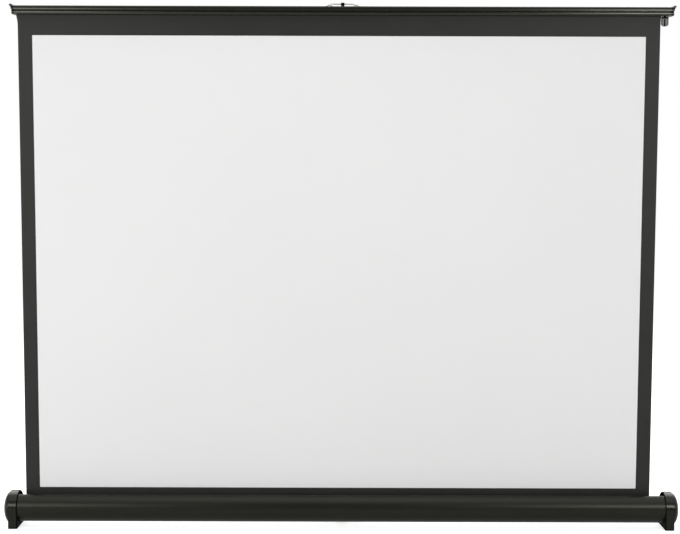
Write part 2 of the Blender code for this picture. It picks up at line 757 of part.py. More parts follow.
def build_top_bar():
    base = Vector((0, FABRIC_Y, BAR_BOTTOM))
    carrier = frame("top_bar_frame", base)
    ceiling = BAR_HEIGHT - BAR_WALL
    chamber = [
        (CHAMBER_HALF, CHAMBER_FLOOR),
        (CHAMBER_HALF, ceiling),
        (-CHAMBER_HALF, ceiling),
        (-CHAMBER_HALF, CHAMBER_FLOOR),
    ]
    bar = extruded("top_bar", BLACK_METAL, "YZ", base, [bar_outline(), chamber], -BAR_HALF, BAR_HALF)
    stud_start = Vector((PEG_X, FABRIC_Y, BAR_BOTTOM - OVERSHOOT))
    stud_length = STUD_HEIGHT + CLEARANCE + OVERSHOOT
    stud = STUD_RADIUS + CLEARANCE
    cut(bar, cylinder("stud_hole", None, "+Z", stud_start, stud, stud_length, SMALL_SIDES))
    lugs = []
    for name, side in SIDES.items():
        spot = Vector((side * (LUG_INNER + LUG_OUTER) / 2, BAIL_Y - LUG_SCREW_SETBACK, BAR_TOP))
        hole = spot - Vector((0, 0, LUG_HOLE_DEPTH))
        radius = LUG_SCREW_RADIUS + CLEARANCE
        cut(bar, cylinder(f"bar_hole_{name}", None, "+Z", hole, radius, 2 * OVERSHOOT, SMALL_SIDES))
        lugs += build_lug(name, side, spot)
    rod_start = Vector((FABRIC_LEFT, FABRIC_Y, BAR_BOTTOM + ROD_HEIGHT))
    rod = cylinder("fabric_rod", WHITE_NYLON, "+X", rod_start, ROD_RADIUS, 2 * FABRIC_HALF, SMALL_SIDES)
    ends = [build_bar_end(name, side, base) for name, side in SIDES.items()]
    peg_profile = [(0, STUD_HEIGHT), (STUD_RADIUS, STUD_HEIGHT), (STUD_RADIUS, -CLEARANCE)]
    peg_profile += [(PEG_RADIUS, -CLEARANCE)]
    tip = (PEG_RADIUS - PEG_ROUND, PEG_ROUND - PEG_LENGTH)
    peg_profile += arc(tip, PEG_ROUND, 0, -90, ARC_STEPS) + [(0, -PEG_LENGTH)]
    seat = Vector((PEG_X, FABRIC_Y, BAR_BOTTOM))
    peg = turned("closing_peg", BLACK_PLASTIC, "+Z", seat, peg_profile)
    carry(carrier, bar, rod, peg, *ends, *lugs)
    build_bail(carrier)


def build_bar_end(name, side, base):
    """The moulded end of the bar: a plate in the bar's outline, a flared lip and a spigot."""
    inner = BAR_END_INNER
    outer = BAR_END_OUTER
    outline = bar_side() + mirrored(bar_side())
    end = extruded(
        f"top_bar_end_{name}", BLACK_PLASTIC, "YZ", base, [outline], side * inner, side * outer
    )
    root = BAR_HEIGHT - LIP_ROOT
    tip = BAR_HEIGHT + LIP_UP
    lip = [
        (side * (outer - LIP_THICKNESS), root),
        (side * (outer - CLEARANCE), root),
        (side * (outer + LIP_OUT), tip - LIP_THICKNESS / 2),
        (side * (outer + LIP_OUT - LIP_THICKNESS / 2), tip),
        (side * (outer + LIP_OUT - LIP_THICKNESS), tip),
        (side * (outer - BAR_END_WIDTH + CLEARANCE), BAR_HEIGHT - LIP_THICKNESS / 2),
    ]
    reach = FLANGE_HALF - BAR_CORNER
    join(end, extruded(f"flared_lip_{name}", None, "XZ", base, [lip], -reach, reach))
    tongue_inner = side * (BAR_HALF - SPIGOT_LENGTH)
    tongue_outer = side * (inner + BAR_END_WIDTH / 2)
    low = Vector((min(tongue_inner, tongue_outer), CLEARANCE - CHAMBER_HALF, CHAMBER_FLOOR + CLEARANCE))
    ceiling = BAR_HEIGHT - BAR_WALL - CLEARANCE
    high = Vector((max(tongue_inner, tongue_outer), CHAMBER_HALF - CLEARANCE, ceiling))
    join(end, box(f"spigot_{name}", None, base + low, base + high))
    return end


def build_lug(name, side, spot):
    """One ear of the bail with its screw."""
    floor = CLEARANCE - PIVOT_HEIGHT
    base_top = floor + LUG_BASE
    outline = [(-LUG_FRONT, floor), (LUG_KNUCKLE, floor)]
    outline += arc((0, 0), LUG_KNUCKLE, 0, 180, 2 * ARC_STEPS)
    outline += [(-LUG_KNUCKLE, base_top), (-LUG_FRONT, base_top)]
    bore = circle(BAIL_WIRE + CLEARANCE)
    pivot = Vector((0, BAIL_Y, BAIL_Z))
    lug = extruded(
        f"bail_lug_{name}", PLAIN_STEEL, "YZ", pivot, [outline, bore], side * LUG_INNER, side * LUG_OUTER
    )
    start = spot - Vector((0, 0, OVERSHOOT))
    radius = LUG_SCREW_RADIUS + CLEARANCE
    cut(lug, cylinder(f"lug_hole_{name}", None, "+Z", start, radius, 2 * OVERSHOOT, SMALL_SIDES))
    profile = screw_profile(LUG_SCREW_RADIUS, LUG_SCREW_LENGTH, LUG_SCREW_HEAD, LUG_SCREW_HEAD_HEIGHT)
    seat = spot + Vector((0, 0, LUG_BASE + 2 * CLEARANCE))
    screw = turned(f"lug_screw_{name}", PLAIN_STEEL, "+Z", seat, profile, sides=SMALL_SIDES)
    return [lug, screw]


def rounded_corner(before, corner, after, radius):
    """Points that round one right-angled corner of a flat path."""
    into = (Vector(before) - Vector(corner)).normalized()
    away = (Vector(after) - Vector(corner)).normalized()
    centre = Vector(corner) + radius * (into + away)
    angles = [math.pi / 2 * i / ARC_STEPS for i in range(ARC_STEPS + 1)]
    return [centre - radius * (away * math.cos(a) + into * math.sin(a)) for a in angles]


def build_bail(carrier):
    pivot = Vector((0, BAIL_Y, BAIL_Z))
    axis = frame("bail_pivot", pivot, carrier)
    foot = (-BAIL_HALF, 0)
    head = (-BAIL_HALF, BAIL_LEG)
    half = [Vector((-BAIL_PIN_END, 0))]
    half += rounded_corner((0, 0), foot, head, BAIL_PIN_CORNER)
    half += rounded_corner(foot, head, (0, BAIL_LEG), BAIL_CORNER)
    flat = half + [Vector((-point.x, point.y)) for point in reversed(half)]
    leg = Vector((0, math.cos(BAIL_ANGLE), math.sin(BAIL_ANGLE)))
    points = [pivot + Vector((point.x, 0, 0)) + leg * point.y for point in flat]
    carry(axis, wire("bail", BRIGHT_STEEL, points, BAIL_WIRE, 2))


# Bracket behind the case
def bracket_screw_profile(grow):
    """A countersunk screw, or its hole when grown by the clearance."""
    tip = CASE_Y + TUBE_RADIUS - TUBE_WALL - BRACKET_SCREW_TIP - POCKET_FRONT
    return [
        (0, 0),
        (BRACKET_SCREW_HEAD + grow, 0),
        (BRACKET_SCREW_HEAD + grow, -CLEARANCE),
        (BRACKET_SCREW_RADIUS + grow, -CLEARANCE - BRACKET_SCREW_CONE),
        (BRACKET_SCREW_RADIUS + grow, tip),
        (0, tip),
    ]


def build_bracket():
    bracket = box(
        "pole_bracket",
        BLACK_PLASTIC,
        (-BRACKET_HALF, CASE_Y + BRACKET_ROOT, PIVOT_Z - BRACKET_BOTTOM),
        (BRACKET_HALF, BRACKET_REAR, PIVOT_Z + BRACKET_TOP),
    )
    start = CASE_AXIS - Vector((BRACKET_HALF + OVERSHOOT, 0, 0))
    length = 2 * (BRACKET_HALF + OVERSHOOT)
    saddle = TUBE_RADIUS + CLEARANCE
    cut(bracket, cylinder("saddle", None, "+X", start, saddle, length, TUBE_STEPS))
    pocket = box(
        "pole_pocket",
        None,
        (-BRACKET_HALF - OVERSHOOT, POCKET_FRONT, PIVOT_Z - BRACKET_BOTTOM + BRACKET_FLOOR),
        (BRACKET_HALF + OVERSHOOT, POCKET_REAR, PIVOT_Z + BRACKET_TOP + OVERSHOOT),
    )
    cut(bracket, pocket)
    bolt_tip = POCKET_FRONT - BOLT_BITE
    bolt_start = Vector((0, bolt_tip - CLEARANCE, PIVOT_Z))
    bolt_length = BRACKET_REAR + OVERSHOOT - bolt_start.y
    cut(bracket, cylinder("bolt_hole", None, "+Y", bolt_start, BOLT_RADIUS + CLEARANCE, bolt_length))
    for name, side in SIDES.items():
        seat = Vector((side * BRACKET_SCREW_X, POCKET_FRONT, PIVOT_Z))
        hole = bracket_screw_profile(CLEARANCE)
        hole[:2] = [(0, OVERSHOOT), (BRACKET_SCREW_HEAD + CLEARANCE, OVERSHOOT)]
        cut(bracket, turned(f"bracket_hole_{name}", None, "+Y", seat, hole, sides=SMALL_SIDES))
        sunk = seat - Vector((0, CLEARANCE, 0))
        profile = bracket_screw_profile(0)
        turned(f"bracket_screw_{name}", PLAIN_STEEL, "+Y", sunk, profile, sides=SMALL_SIDES)
    washer_base = Vector((0, BRACKET_REAR + CLEARANCE, PIVOT_Z))
    washer = ring_profile(WASHER_RADIUS, BOLT_RADIUS + CLEARANCE, 0, WASHER_THICKNESS)
    turned("pivot_washer", PLAIN_STEEL, "+Y", washer_base, washer, closed=True)
    head = washer_base.y + WASHER_THICKNESS + CLEARANCE
    bolt = screw_profile(BOLT_RADIUS, head - bolt_tip, BOLT_HEAD_RADIUS, BOLT_HEAD_HEIGHT)
    turned("pivot_bolt", PLAIN_STEEL, "+Y", Vector((0, head, PIVOT_Z)), bolt)


# Telescopic pole
def stage(name, radius, base, top):
    profile = ring_profile(radius, radius - STAGE_WALL, 0, top - base)
    place = POLE_AXIS + Vector((0, 0, base))
    return turned(name, BLACK_METAL, "+Z", place, profile, closed=True)


def collar(name, outer_tube, inner_tube, rim):
    """A twist collar: its skirt turns on the outer tube and its crown grips the inner one."""
    outer = outer_tube + CLEARANCE + COLLAR_WALL
    profile = [
        (outer - COLLAR_CHAMFER, COLLAR_CROWN),
        (outer, COLLAR_CROWN - COLLAR_CHAMFER),
        (outer, COLLAR_CHAMFER - COLLAR_SKIRT),
        (outer - COLLAR_CHAMFER, -COLLAR_SKIRT),
        (outer_tube + CLEARANCE, -COLLAR_SKIRT),
        (outer_tube + CLEARANCE, CLEARANCE),
        (inner_tube + CLEARANCE, CLEARANCE),
        (inner_tube + CLEARANCE, COLLAR_CROWN),
    ]
    place = POLE_AXIS + Vector((0, 0, rim))
    return turned(name, BLACK_PLASTIC, "+Z", place, profile, closed=True)


def guide(name, outer_tube, inner_tube, base):
    """A nylon foot plugged into the inner tube, which slides in the outer one."""
    flange = outer_tube - STAGE_WALL - CLEARANCE
    plug = inner_tube - STAGE_WALL - CLEARANCE
    profile = [
        (0, GUIDE_PLUG),
        (plug, GUIDE_PLUG),
        (plug, -CLEARANCE),
        (flange, -CLEARANCE),
        (flange, -CLEARANCE - GUIDE_FLANGE),
        (0, -CLEARANCE - GUIDE_FLANGE),
    ]
    return turned(name, WHITE_NYLON, "+Z", POLE_AXIS + Vector((0, 0, base)), profile)


def build_knuckle():
    outline = arc((0, 0), KNUCKLE_HALF, 180, 360, 2 * ARC_STEPS)
    outline += [(KNUCKLE_HALF, KNUCKLE_RISE), (-KNUCKLE_HALF, KNUCKLE_RISE)]
    bore = circle(BOLT_RADIUS + CLEARANCE)
    half = KNUCKLE_DEPTH / 2
    knuckle = extruded("pole_knuckle", BLACK_PLASTIC, "XZ", PIVOT_POINT, [outline, bore], -half, half)
    root = PIVOT_POINT + Vector((0, 0, KNUCKLE_RISE - OVERSHOOT))
    radius = LOWER_RADIUS - STAGE_WALL - CLEARANCE
    join(knuckle, cylinder("knuckle_plug", None, "+Z", root, radius, KNUCKLE_PLUG + OVERSHOOT))
    return knuckle


def build_hook():
    """The top fitting of the pole, whose throat holds the bail."""
    throat = BAIL_WIRE + CLEARANCE
    lip_front = -throat - HOOK_LIP_DEPTH
    lip_angle = 180 + math.degrees(math.asin(HOOK_LIP_DROP / throat))
    back = throat + HOOK_BACK_PLAY
    floor = -throat - HOOK_FLOOR
    root = HOOK_OFFSET - HOOK_CAP_RADIUS + CLEARANCE
    core = HOOK_OFFSET - HOOK_CAP_RADIUS / 2
    outline = [
        (lip_front, floor),
        (root, -HOOK_CAP_BOTTOM + HOOK_CAP_TOP),
        (core, -HOOK_CAP_BOTTOM + HOOK_CAP_TOP),
        (core, -HOOK_CAP_TOP - CLEARANCE),
        (back + HOOK_BACK_DEPTH, HOOK_BACK_RISE),
        (back, HOOK_BACK_RISE),
        (back, 0),
    ]
    outline += arc((0, 0), throat, 360, lip_angle, 2 * ARC_STEPS)
    outline += [
        (lip_front + HOOK_LIP_CHAMFER, -HOOK_LIP_DROP),
        (lip_front, -HOOK_LIP_DROP - HOOK_LIP_CHAMFER),
    ]
    base = Vector((0, POLE_Y, HANG_Z))
    plug = UPPER_RADIUS - STAGE_WALL - CLEARANCE
    cap_profile = [
        (0, -HOOK_CAP_TOP),
        (HOOK_CAP_RADIUS - COLLAR_CHAMFER, -HOOK_CAP_TOP),
        (HOOK_CAP_RADIUS, -HOOK_CAP_TOP - COLLAR_CHAMFER),
        (HOOK_CAP_RADIUS, -HOOK_CAP_BOTTOM),
        (plug, -HOOK_CAP_BOTTOM),
        (plug, -HOOK_CAP_BOTTOM - HOOK_PLUG),
        (0, -HOOK_CAP_BOTTOM - HOOK_PLUG),
    ]
    hook = turned("pole_hook", BLACK_PLASTIC, "+Z", base, cap_profile)
    hang = Vector((0, HANG_Y, HANG_Z))
    half = HOOK_WIDTH / 2
    join(hook, extruded("hook_arm", None, "YZ", hang, [outline], -half, half))
    return hook


def build_pole():
    fold = frame("pole_fold_axis", PIVOT_POINT)
    carry(fold, build_knuckle(), stage("pole_lower_tube", LOWER_RADIUS, LOWER_BASE, LOWER_TOP))
    lower_twist = frame("lower_collar_axis", POLE_AXIS + Vector((0, 0, LOWER_TOP)), fold)
    carry(lower_twist, collar("lower_twist_collar", LOWER_RADIUS, MIDDLE_RADIUS, LOWER_TOP))
    middle = frame("middle_stage_axis", POLE_AXIS + Vector((0, 0, MIDDLE_BASE)), fold)
    carry(
        middle,
        stage("pole_middle_tube", MIDDLE_RADIUS, MIDDLE_BASE, MIDDLE_TOP),
        guide("middle_tube_guide", LOWER_RADIUS, MIDDLE_RADIUS, MIDDLE_BASE),
    )
    upper_twist = frame("upper_collar_axis", POLE_AXIS + Vector((0, 0, MIDDLE_TOP)), middle)
    carry(upper_twist, collar("upper_twist_collar", MIDDLE_RADIUS, UPPER_RADIUS, MIDDLE_TOP))
    upper = frame("upper_stage_axis", POLE_AXIS + Vector((0, 0, UPPER_BASE)), middle)
    carry(
        upper,
        stage("pole_upper_tube", UPPER_RADIUS, UPPER_BASE, UPPER_TOP),
        guide("upper_tube_guide", MIDDLE_RADIUS, UPPER_RADIUS, UPPER_BASE),
        build_hook(),
    )


build_case_tube()
for end_name, end_side in SIDES.items():
    build_end(end_name, end_side)
build_roller()
build_roller_seats()
build_fabric()
build_top_bar()
build_bracket()
build_pole()
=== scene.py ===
import math

import bpy
from mathutils import Matrix, Vector


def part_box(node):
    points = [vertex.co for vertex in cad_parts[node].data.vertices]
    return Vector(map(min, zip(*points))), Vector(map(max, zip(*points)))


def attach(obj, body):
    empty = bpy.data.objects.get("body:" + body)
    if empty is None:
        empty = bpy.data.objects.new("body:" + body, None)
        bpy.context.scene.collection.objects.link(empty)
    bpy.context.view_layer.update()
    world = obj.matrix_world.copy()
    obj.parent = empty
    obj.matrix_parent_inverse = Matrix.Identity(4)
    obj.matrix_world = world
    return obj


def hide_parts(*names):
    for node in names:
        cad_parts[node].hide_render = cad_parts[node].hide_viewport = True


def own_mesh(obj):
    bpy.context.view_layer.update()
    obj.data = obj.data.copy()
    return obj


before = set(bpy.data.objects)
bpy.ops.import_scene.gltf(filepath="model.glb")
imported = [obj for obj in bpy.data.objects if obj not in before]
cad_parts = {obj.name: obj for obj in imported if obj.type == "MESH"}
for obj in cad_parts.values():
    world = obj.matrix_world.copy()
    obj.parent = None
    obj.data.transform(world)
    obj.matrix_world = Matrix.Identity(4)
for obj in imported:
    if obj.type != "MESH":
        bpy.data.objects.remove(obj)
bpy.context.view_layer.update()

# Sizes shared with the solids, in metres and degrees
CLEARANCE = 0.0003
AXIS_Y = -0.0239
AXIS_Z = 0.0335
CASE_AXIS = (AXIS_Y, AXIS_Z)
TUBE_RADIUS = 0.0252
TUBE_WALL = 0.0016
LIP_RADIUS = 0.0013
LIP_ORBIT = TUBE_RADIUS - LIP_RADIUS
MOUTH_FRONT = 115.0
MOUTH_REAR = 34.0
SOCKET_DEPTH = 0.010
RING_RADIUS = 0.0272
FOOT_REAR = 0.075
FOOT_CORNER = 0.003
TAIL_HEIGHT = 0.009
TAIL_RISE = 0.002
TAIL_LENGTH = 0.039
TAIL_ANGLE = -20.0
DOME_RIM = 0.0267
BAR_HEIGHT = 0.0143
FLANGE_HALF = 0.0175
BODY_HALF = 0.0130
LOWER_HALF = 0.0105
CHANNEL_SLOT = 0.0016
LIP_UP = 0.0030
LIP_ROOT = 0.0040
STUD_RADIUS = 0.002
BAIL_WIRE = 0.00175
BAIL_HALF = 0.0276
BAIL_REACH = 0.0150
BAIL_RISE = 0.0049
BAIL_CORNER = 0.006
BAIL_PIN_CORNER = 0.002
BAIL_PIN_END = 0.0175
HOOK_HALF = 0.00285
MIDDLE_RADIUS = 0.0065
UPPER_RADIUS = 0.005
STAGE_WALL = 0.0008
COLLAR_WALL = 0.0022
COLLAR_SKIRT = 0.014
COLLAR_CHAMFER = 0.001
FABRIC_THICKNESS = 0.0004
WRAP_THICKNESS = 0.0008
SIDE_BORDER = 0.0237
TOP_BORDER = 0.0327
VIEW_HEIGHT = 0.762

# Modelling by hand
SPECK = 0.001  # size of the plane that a traced line starts from
WELD = 0.000005  # distance within which vertices are merged
FLAT_ANGLE = 0.6  # degrees between neighbours that count as one flat face
SQUARE_ON = 0.9  # part of a normal that points one way: almost straight, mostly, hardly
HALF_ON = 0.5
HARDLY = 0.01

# From here on, sizes that only the dressed shapes have

# Fabric: flared upper corners, sides that curl back, faint pulls and turns on the roller
FLARE_HEIGHT = 0.020
FLARE_ROWS = 5
LEFT_FLARE = 0.0030
RIGHT_FLARE = 0.0007
EDGE_SHARE = 0.001  # of the width
CURL_DEPTH = 0.0007
CURL_POWER = 6
PULL_DEPTH = 0.00022
PULL_WAVES = 5
PULL_PHASE = 0.6
PULL_AT_FOOT = 0.25
WOUND_THICKNESS = 0.0003
WOUND_TURNS = 2.0
WOUND_STEPS = 144

# End caps
SOLE_GAP = 0.0004
SKIRT = 0.0030
RING_SLOPE = 0.0016
RING_RIDGE = 0.0001
SOCKET_OVERSHOOT = 0.004
POCKET_OVERSHOOT = 0.001
DOME_DROP = 0.0014
DOME_EDGE = 0.0005
PAD_MARGIN = 0.0022
PAD_SLOPE = 0.0004
PAD_HOLLOW = 0.0009

# Top bar
BAR_LIFT = 0.0008
BAND_FOOT = 0.0012
BAND_TOP = 0.0076
FLANGE_RISE = 0.0083
CROWN_RADIUS = 0.010
LOWER_CROWN = 0.0047
UPPER_CROWN = 0.0097
CHANNEL_RADIUS = 0.0026
CHANNEL_HEIGHT = 0.0045
END_WIDTH = 0.0041
LIP_OUT = 0.0036
LIP_THICKNESS = 0.0036
LIP_SETBACK = 0.0022

# Peg, with depths below the bar for its groove, the painted shadow on its top and its slots
PEG_SWELL = 0.0007
PEG_SHIFT = 0.0005
PEG_RIM = 0.0004
PEG_TIP = 0.0044
PEG_GROOVE = (0.0022, 0.0025, 0.0030, 0.0033)
PEG_GROOVE_CUT = 0.0003
PEG_PAINTED_SHADOW = 0.0031
PEG_NECK = 0.0036
PEG_SLOT = 0.0023
PEG_WEB = 0.0022
PEG_TURN = -0.237
PEG_SKIN = 0.0004
SLOT_REACH = 1.2  # in radii

# Bail, hook, pole and screws
CROSS_LENGTH = 0.0022
CROSS_WIDTH = 0.00045
CROSS_DEPTH = 0.0006
STAGE_EASE = 0.00025
COLLAR_SIDES = 72
RIB_TOP = 0.005
RIB_FOOT = 0.004
RIB_EVERY = 3
RIB_INSET = 0.00018
RIB_DEPTH = 0.0005
GRIP_SKIN = 0.0004
HORN = [  # outline from the side, measured from the wire that hangs in the hook
    (-0.0026, -0.0030),
    (-0.0045, -0.0030),
    (-0.0058, -0.0016),
    (-0.0058, 0.0008),
    (-0.0052, 0.0014),
    (-0.0038, 0.0014),
    (-0.0022, -0.0007),
]
TRIM_SIZE = 0.008
TRIM_BACK = 0.0015
TRIM_RISE = 0.0022
KEY_RADIUS = 0.0029
KEY_LENGTH = 0.004


# Hand modelling
def put_down():
    """Object mode, with nothing selected."""
    if bpy.context.mode != "OBJECT":
        bpy.ops.object.mode_set(mode="OBJECT")
    bpy.ops.object.select_all(action="DESELECT")


def take_up(piece):
    """Object mode, with this piece alone selected."""
    put_down()
    piece.select_set(True)
    bpy.context.view_layer.objects.active = piece


def edit(piece, selected="SELECT"):
    """Edit mode, with all of the piece's vertices selected, or none."""
    take_up(piece)
    bpy.ops.object.mode_set(mode="EDIT")
    bpy.ops.mesh.select_mode(type="VERT")
    bpy.ops.mesh.select_all(action=selected)


def traced(name, points):
    """A chain of edges drawn by extruding one vertex from point to point."""
    put_down()
    bpy.ops.mesh.primitive_plane_add(size=SPECK)
    piece = bpy.context.object
    piece.name = name
    piece.data.name = name
    edit(piece)
    bpy.ops.mesh.merge(type="CENTER")
    bpy.ops.transform.translate(value=points[0])
    for last, point in zip(points, points[1:]):
        bpy.ops.mesh.extrude_vertices_move(TRANSFORM_OT_translate={"value": point - last})
    bpy.ops.mesh.select_all(action="SELECT")
    return piece


def clean():
    """Merges doubles and turns all faces outwards, in edit mode."""
    bpy.ops.mesh.select_all(action="SELECT")
    bpy.ops.mesh.remove_doubles(threshold=WELD)
    bpy.ops.mesh.normals_make_consistent(inside=False)
    put_down()


def prism(name, outline, along):
    """An outline drawn in place, filled, and extruded along a vector."""
    piece = traced(name, outline)
    bpy.ops.mesh.edge_face_add()
    bpy.ops.mesh.extrude_region_move(TRANSFORM_OT_translate={"value": along})
    clean()
    return piece


def lathe(name, profile, centre, axis, steps):
    """A profile of (radius, height) points spun about an axis through the centre."""
    axis = Vector(axis)
    out = axis.orthogonal().normalized()
    piece = traced(name, [centre + out * radius + axis * height for radius, height in profile])
    bpy.ops.mesh.spin(steps=steps, angle=math.tau, center=centre, axis=axis)
    clean()
    return piece


def bent_wire(name, points, radius, resolution=6):
    """A round wire with filled ends, laid along a line of points."""
    piece = traced(name, points)
    take_up(piece)
    bpy.ops.object.convert(target="CURVE")
    piece.data.bevel_depth = radius
    piece.data.bevel_resolution = resolution
    piece.data.use_fill_caps = True
    bpy.ops.object.convert(target="MESH")
    edit(piece)
    clean()
    return piece


def apply(piece, kind, **settings):
    """Adds one modifier with its settings and applies it."""
    take_up(piece)
    modifier = piece.modifiers.new(kind.lower(), kind)
    for key, value in settings.items():
        setattr(modifier, key, value)
    bpy.ops.object.modifier_apply(modifier=modifier.name)


def carved(piece, tool, operation="DIFFERENCE"):
    """Cuts the tool out of a piece, or joins it on, and takes the tool away."""
    apply(piece, "BOOLEAN", operation=operation, solver="EXACT", object=tool)
    bpy.data.objects.remove(tool, do_unlink=True)


def eased(piece, width, segments=3, sharper_than=40):
    """Rounds the edges that are sharper than an angle, then shades the piece."""
    angle = math.radians(sharper_than)
    apply(piece, "BEVEL", width=width, segments=segments, limit_method="ANGLE", angle_limit=angle)
    edit(piece)
    clean()
    shaded(piece)
    apply(piece, "WEIGHTED_NORMAL", keep_sharp=True)


def shaded(piece, angle=32):
    """Smooth shading, except at edges that are sharper than an angle."""
    take_up(piece)
    bpy.ops.object.shade_smooth_by_angle(angle=math.radians(angle))
    return piece


def drum(name, centre, axis, radius, length, sides=96):
    """A plain cylinder to cut with, its middle at the centre."""
    put_down()
    turn = Vector((0, 0, 1)).rotation_difference(Vector(axis)).to_euler()
    bpy.ops.mesh.primitive_cylinder_add(
        vertices=sides, radius=radius, depth=length, location=centre, rotation=turn
    )
    bpy.ops.object.transform_apply(location=True, rotation=True, scale=True)
    bpy.context.object.name = name
    return bpy.context.object


def block(name, first, last):
    """A box between two opposite corners, to cut with or to be shaped further."""
    put_down()
    size = [abs(b - a) for a, b in zip(first, last)]
    bpy.ops.mesh.primitive_cube_add(size=1, location=(first + last) / 2, scale=size)
    bpy.ops.object.transform_apply(location=True, rotation=True, scale=True)
    bpy.context.object.name = name
    return bpy.context.object


def pick(piece, wanted):
    """Edit mode, with only the wanted faces selected."""
    edit(piece, "DESELECT")
    bpy.ops.mesh.select_mode(type="FACE")
    bpy.ops.object.mode_set(mode="OBJECT")
    for face in piece.data.polygons:
        face.select = wanted(face)
    bpy.ops.object.mode_set(mode="EDIT")


def refined(node, name):
    """A copy of one solid with its triangles merged into clean faces."""
    piece = bpy.data.objects.new(name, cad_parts[node].data.copy())
    bpy.context.scene.collection.objects.link(piece)
    take_up(piece)
    bpy.ops.mesh.customdata_custom_splitnormals_clear()
    edit(piece)
    bpy.ops.mesh.remove_doubles(threshold=WELD)
    bpy.ops.mesh.dissolve_limited(angle_limit=math.radians(FLAT_ANGLE))
    put_down()
    return piece


def arc(centre, radius, first, last, steps):
    """Flat points on a circle, from one angle to another."""
    angles = [math.radians(first + (last - first) * i / steps) for i in range(steps + 1)]
    return [(centre[0] + radius * math.cos(a), centre[1] + radius * math.sin(a)) for a in angles]


def on_circle(centre, radius, angle):
    """The one flat point on a circle at an angle."""
    return arc(centre, radius, angle, angle, 1)[0]


def sweep(first, control, last, steps):
    """Flat points on a curve that leaves and arrives in the direction of its control point."""
    shares = [i / steps for i in range(steps + 1)]
    weights = [((1 - s) ** 2, 2 * s * (1 - s), s * s) for s in shares]
    return [
        tuple(a * first[k] + b * control[k] + c * last[k] for k in range(2)) for a, b, c in weights
    ]


def corner_points(before, corner, after, radius, steps=10):
    """Flat points round a square corner."""
    into = (Vector(before) - Vector(corner)).normalized()
    away = (Vector(after) - Vector(corner)).normalized()
    centre = Vector(corner) + radius * (into + away)
    angles = [math.pi / 2 * i / steps for i in range(steps + 1)]
    return [centre - radius * (away * math.cos(a) + into * math.sin(a)) for a in angles]


def standing(x, flat):
    """Flat (y, z) points as places on the plane across the case at x."""
    return [Vector((x, y, z)) for y, z in flat]


def underside(low, high):
    """The middle of the lowest face of a box."""
    return Vector(((low.x + high.x) / 2, (low.y + high.y) / 2, low.z))


# Finishes
WAVE_BAND = 0.314  # width of one band of a Wave node at scale 1
WARM_SHEEN = (1.0, 1.0, 0.87, 1.0)
WARM_BLACK = 0.75  # blue of the anodised black against its red and green
DYE_RANGE = 0.007


class Varying:
    """A value that changes over a surface; sums on it add Math nodes to its shading."""

    def __init__(self, shading, socket):
        self.shading = shading
        self.socket = socket

    def sum(self, operation, first, second):
        return self.shading.node("ShaderNodeMath", {"operation": operation}, {0: first, 1: second})

    def __add__(self, other):
        return self.sum("ADD", self, other)

    def __sub__(self, other):
        return self.sum("SUBTRACT", self, other)

    def __rsub__(self, other):
        return self.sum("SUBTRACT", other, self)

    def __mul__(self, other):
        return self.sum("MULTIPLY", self, other)

    __rmul__ = __mul__

    def above(self, edge, softness):
        """0 below the edge, 1 above it, with a soft step between."""
        settings = {"interpolation_type": "SMOOTHSTEP"}
        inputs = {0: self, 1: edge - softness, 2: edge + softness}
        return self.shading.node("ShaderNodeMapRange", settings, inputs)


class Shading:
    """A node tree, with the few kinds of node that the finishes and the studio share."""

    def __init__(self, tree):
        self.tree = tree

    def feed(self, socket, value):
        if isinstance(value, Varying):
            self.tree.links.new(value.socket, socket)
        else:
            socket.default_value = value

    def node(self, kind, settings=None, inputs=None, output=0):
        made = self.tree.nodes.new(kind)
        for key, value in (settings or {}).items():
            setattr(made, key, value)
        for key, value in (inputs or {}).items():
            self.feed(made.inputs[key], value)
        return Varying(self, made.outputs[output])

    def place(self, scale=(1, 1, 1), source="Object"):
        where = self.node("ShaderNodeTexCoord", output=source)
        return self.node("ShaderNodeMapping", inputs={"Vector": where, "Scale": scale})

    def noise(self, place, scale, detail=2.0, roughness=0.5):
        inputs = {"Vector": place, "Scale": scale, "Detail": detail, "Roughness": roughness}
        return self.node("ShaderNodeTexNoise", inputs=inputs)

    def tint(self, share, first, second):
        inputs = {0: share, 6: (*first, 1.0), 7: (*second, 1.0)}
        return self.node("ShaderNodeMix", {"data_type": "RGBA"}, inputs, output=2)

    def direct(self):
        """1 for rays straight from the camera, and 0 for the rest."""
        return self.node("ShaderNodeLightPath", output="Is Camera Ray")

    def mirrored(self):
        """1 for rays that come by a mirror or through glass, and 0 for the rest."""
        gloss = self.node("ShaderNodeLightPath", output="Is Glossy Ray")
        glass = self.node("ShaderNodeLightPath", output="Is Transmission Ray")
        return (gloss + glass).above(0.5, 0.1)


class Finish(Shading):
    """One material, built round its Principled shader, with the values that don't vary."""

    def __init__(self, name, **constants):
        self.material = bpy.data.materials.new(name)
        self.material.use_nodes = True
        super().__init__(self.material.node_tree)
        self.shader = self.tree.nodes["Principled BSDF"]
        for socket, value in constants.items():
            self.set(socket.replace("_", " "), value)

    def set(self, socket, value):
        self.feed(self.shader.inputs[socket], value)

    def bump(self, height, strength, distance):
        inputs = {"Height": height, "Strength": strength, "Distance": distance}
        self.set("Normal", self.node("ShaderNodeBump", inputs=inputs))


def on_sheet(finish):
    """Places on the flat fabric, in metres."""
    return finish.place((SHEET_WIDTH, SHEET_HEIGHT, 1), "UV")


def weave(finish, place, pitch):
    """The crossing threads of a plain weave, from 0 to 1."""
    threads = []
    for direction in ("X", "Y"):
        settings = {"bands_direction": direction, "wave_profile": "SIN"}
        inputs = {"Vector": place, "Scale": WAVE_BAND / pitch, "Distortion": 0.4, "Detail": 1.0}
        threads.append(finish.node("ShaderNodeTexWave", settings, inputs, output="Fac"))
    return threads[0] * threads[1]


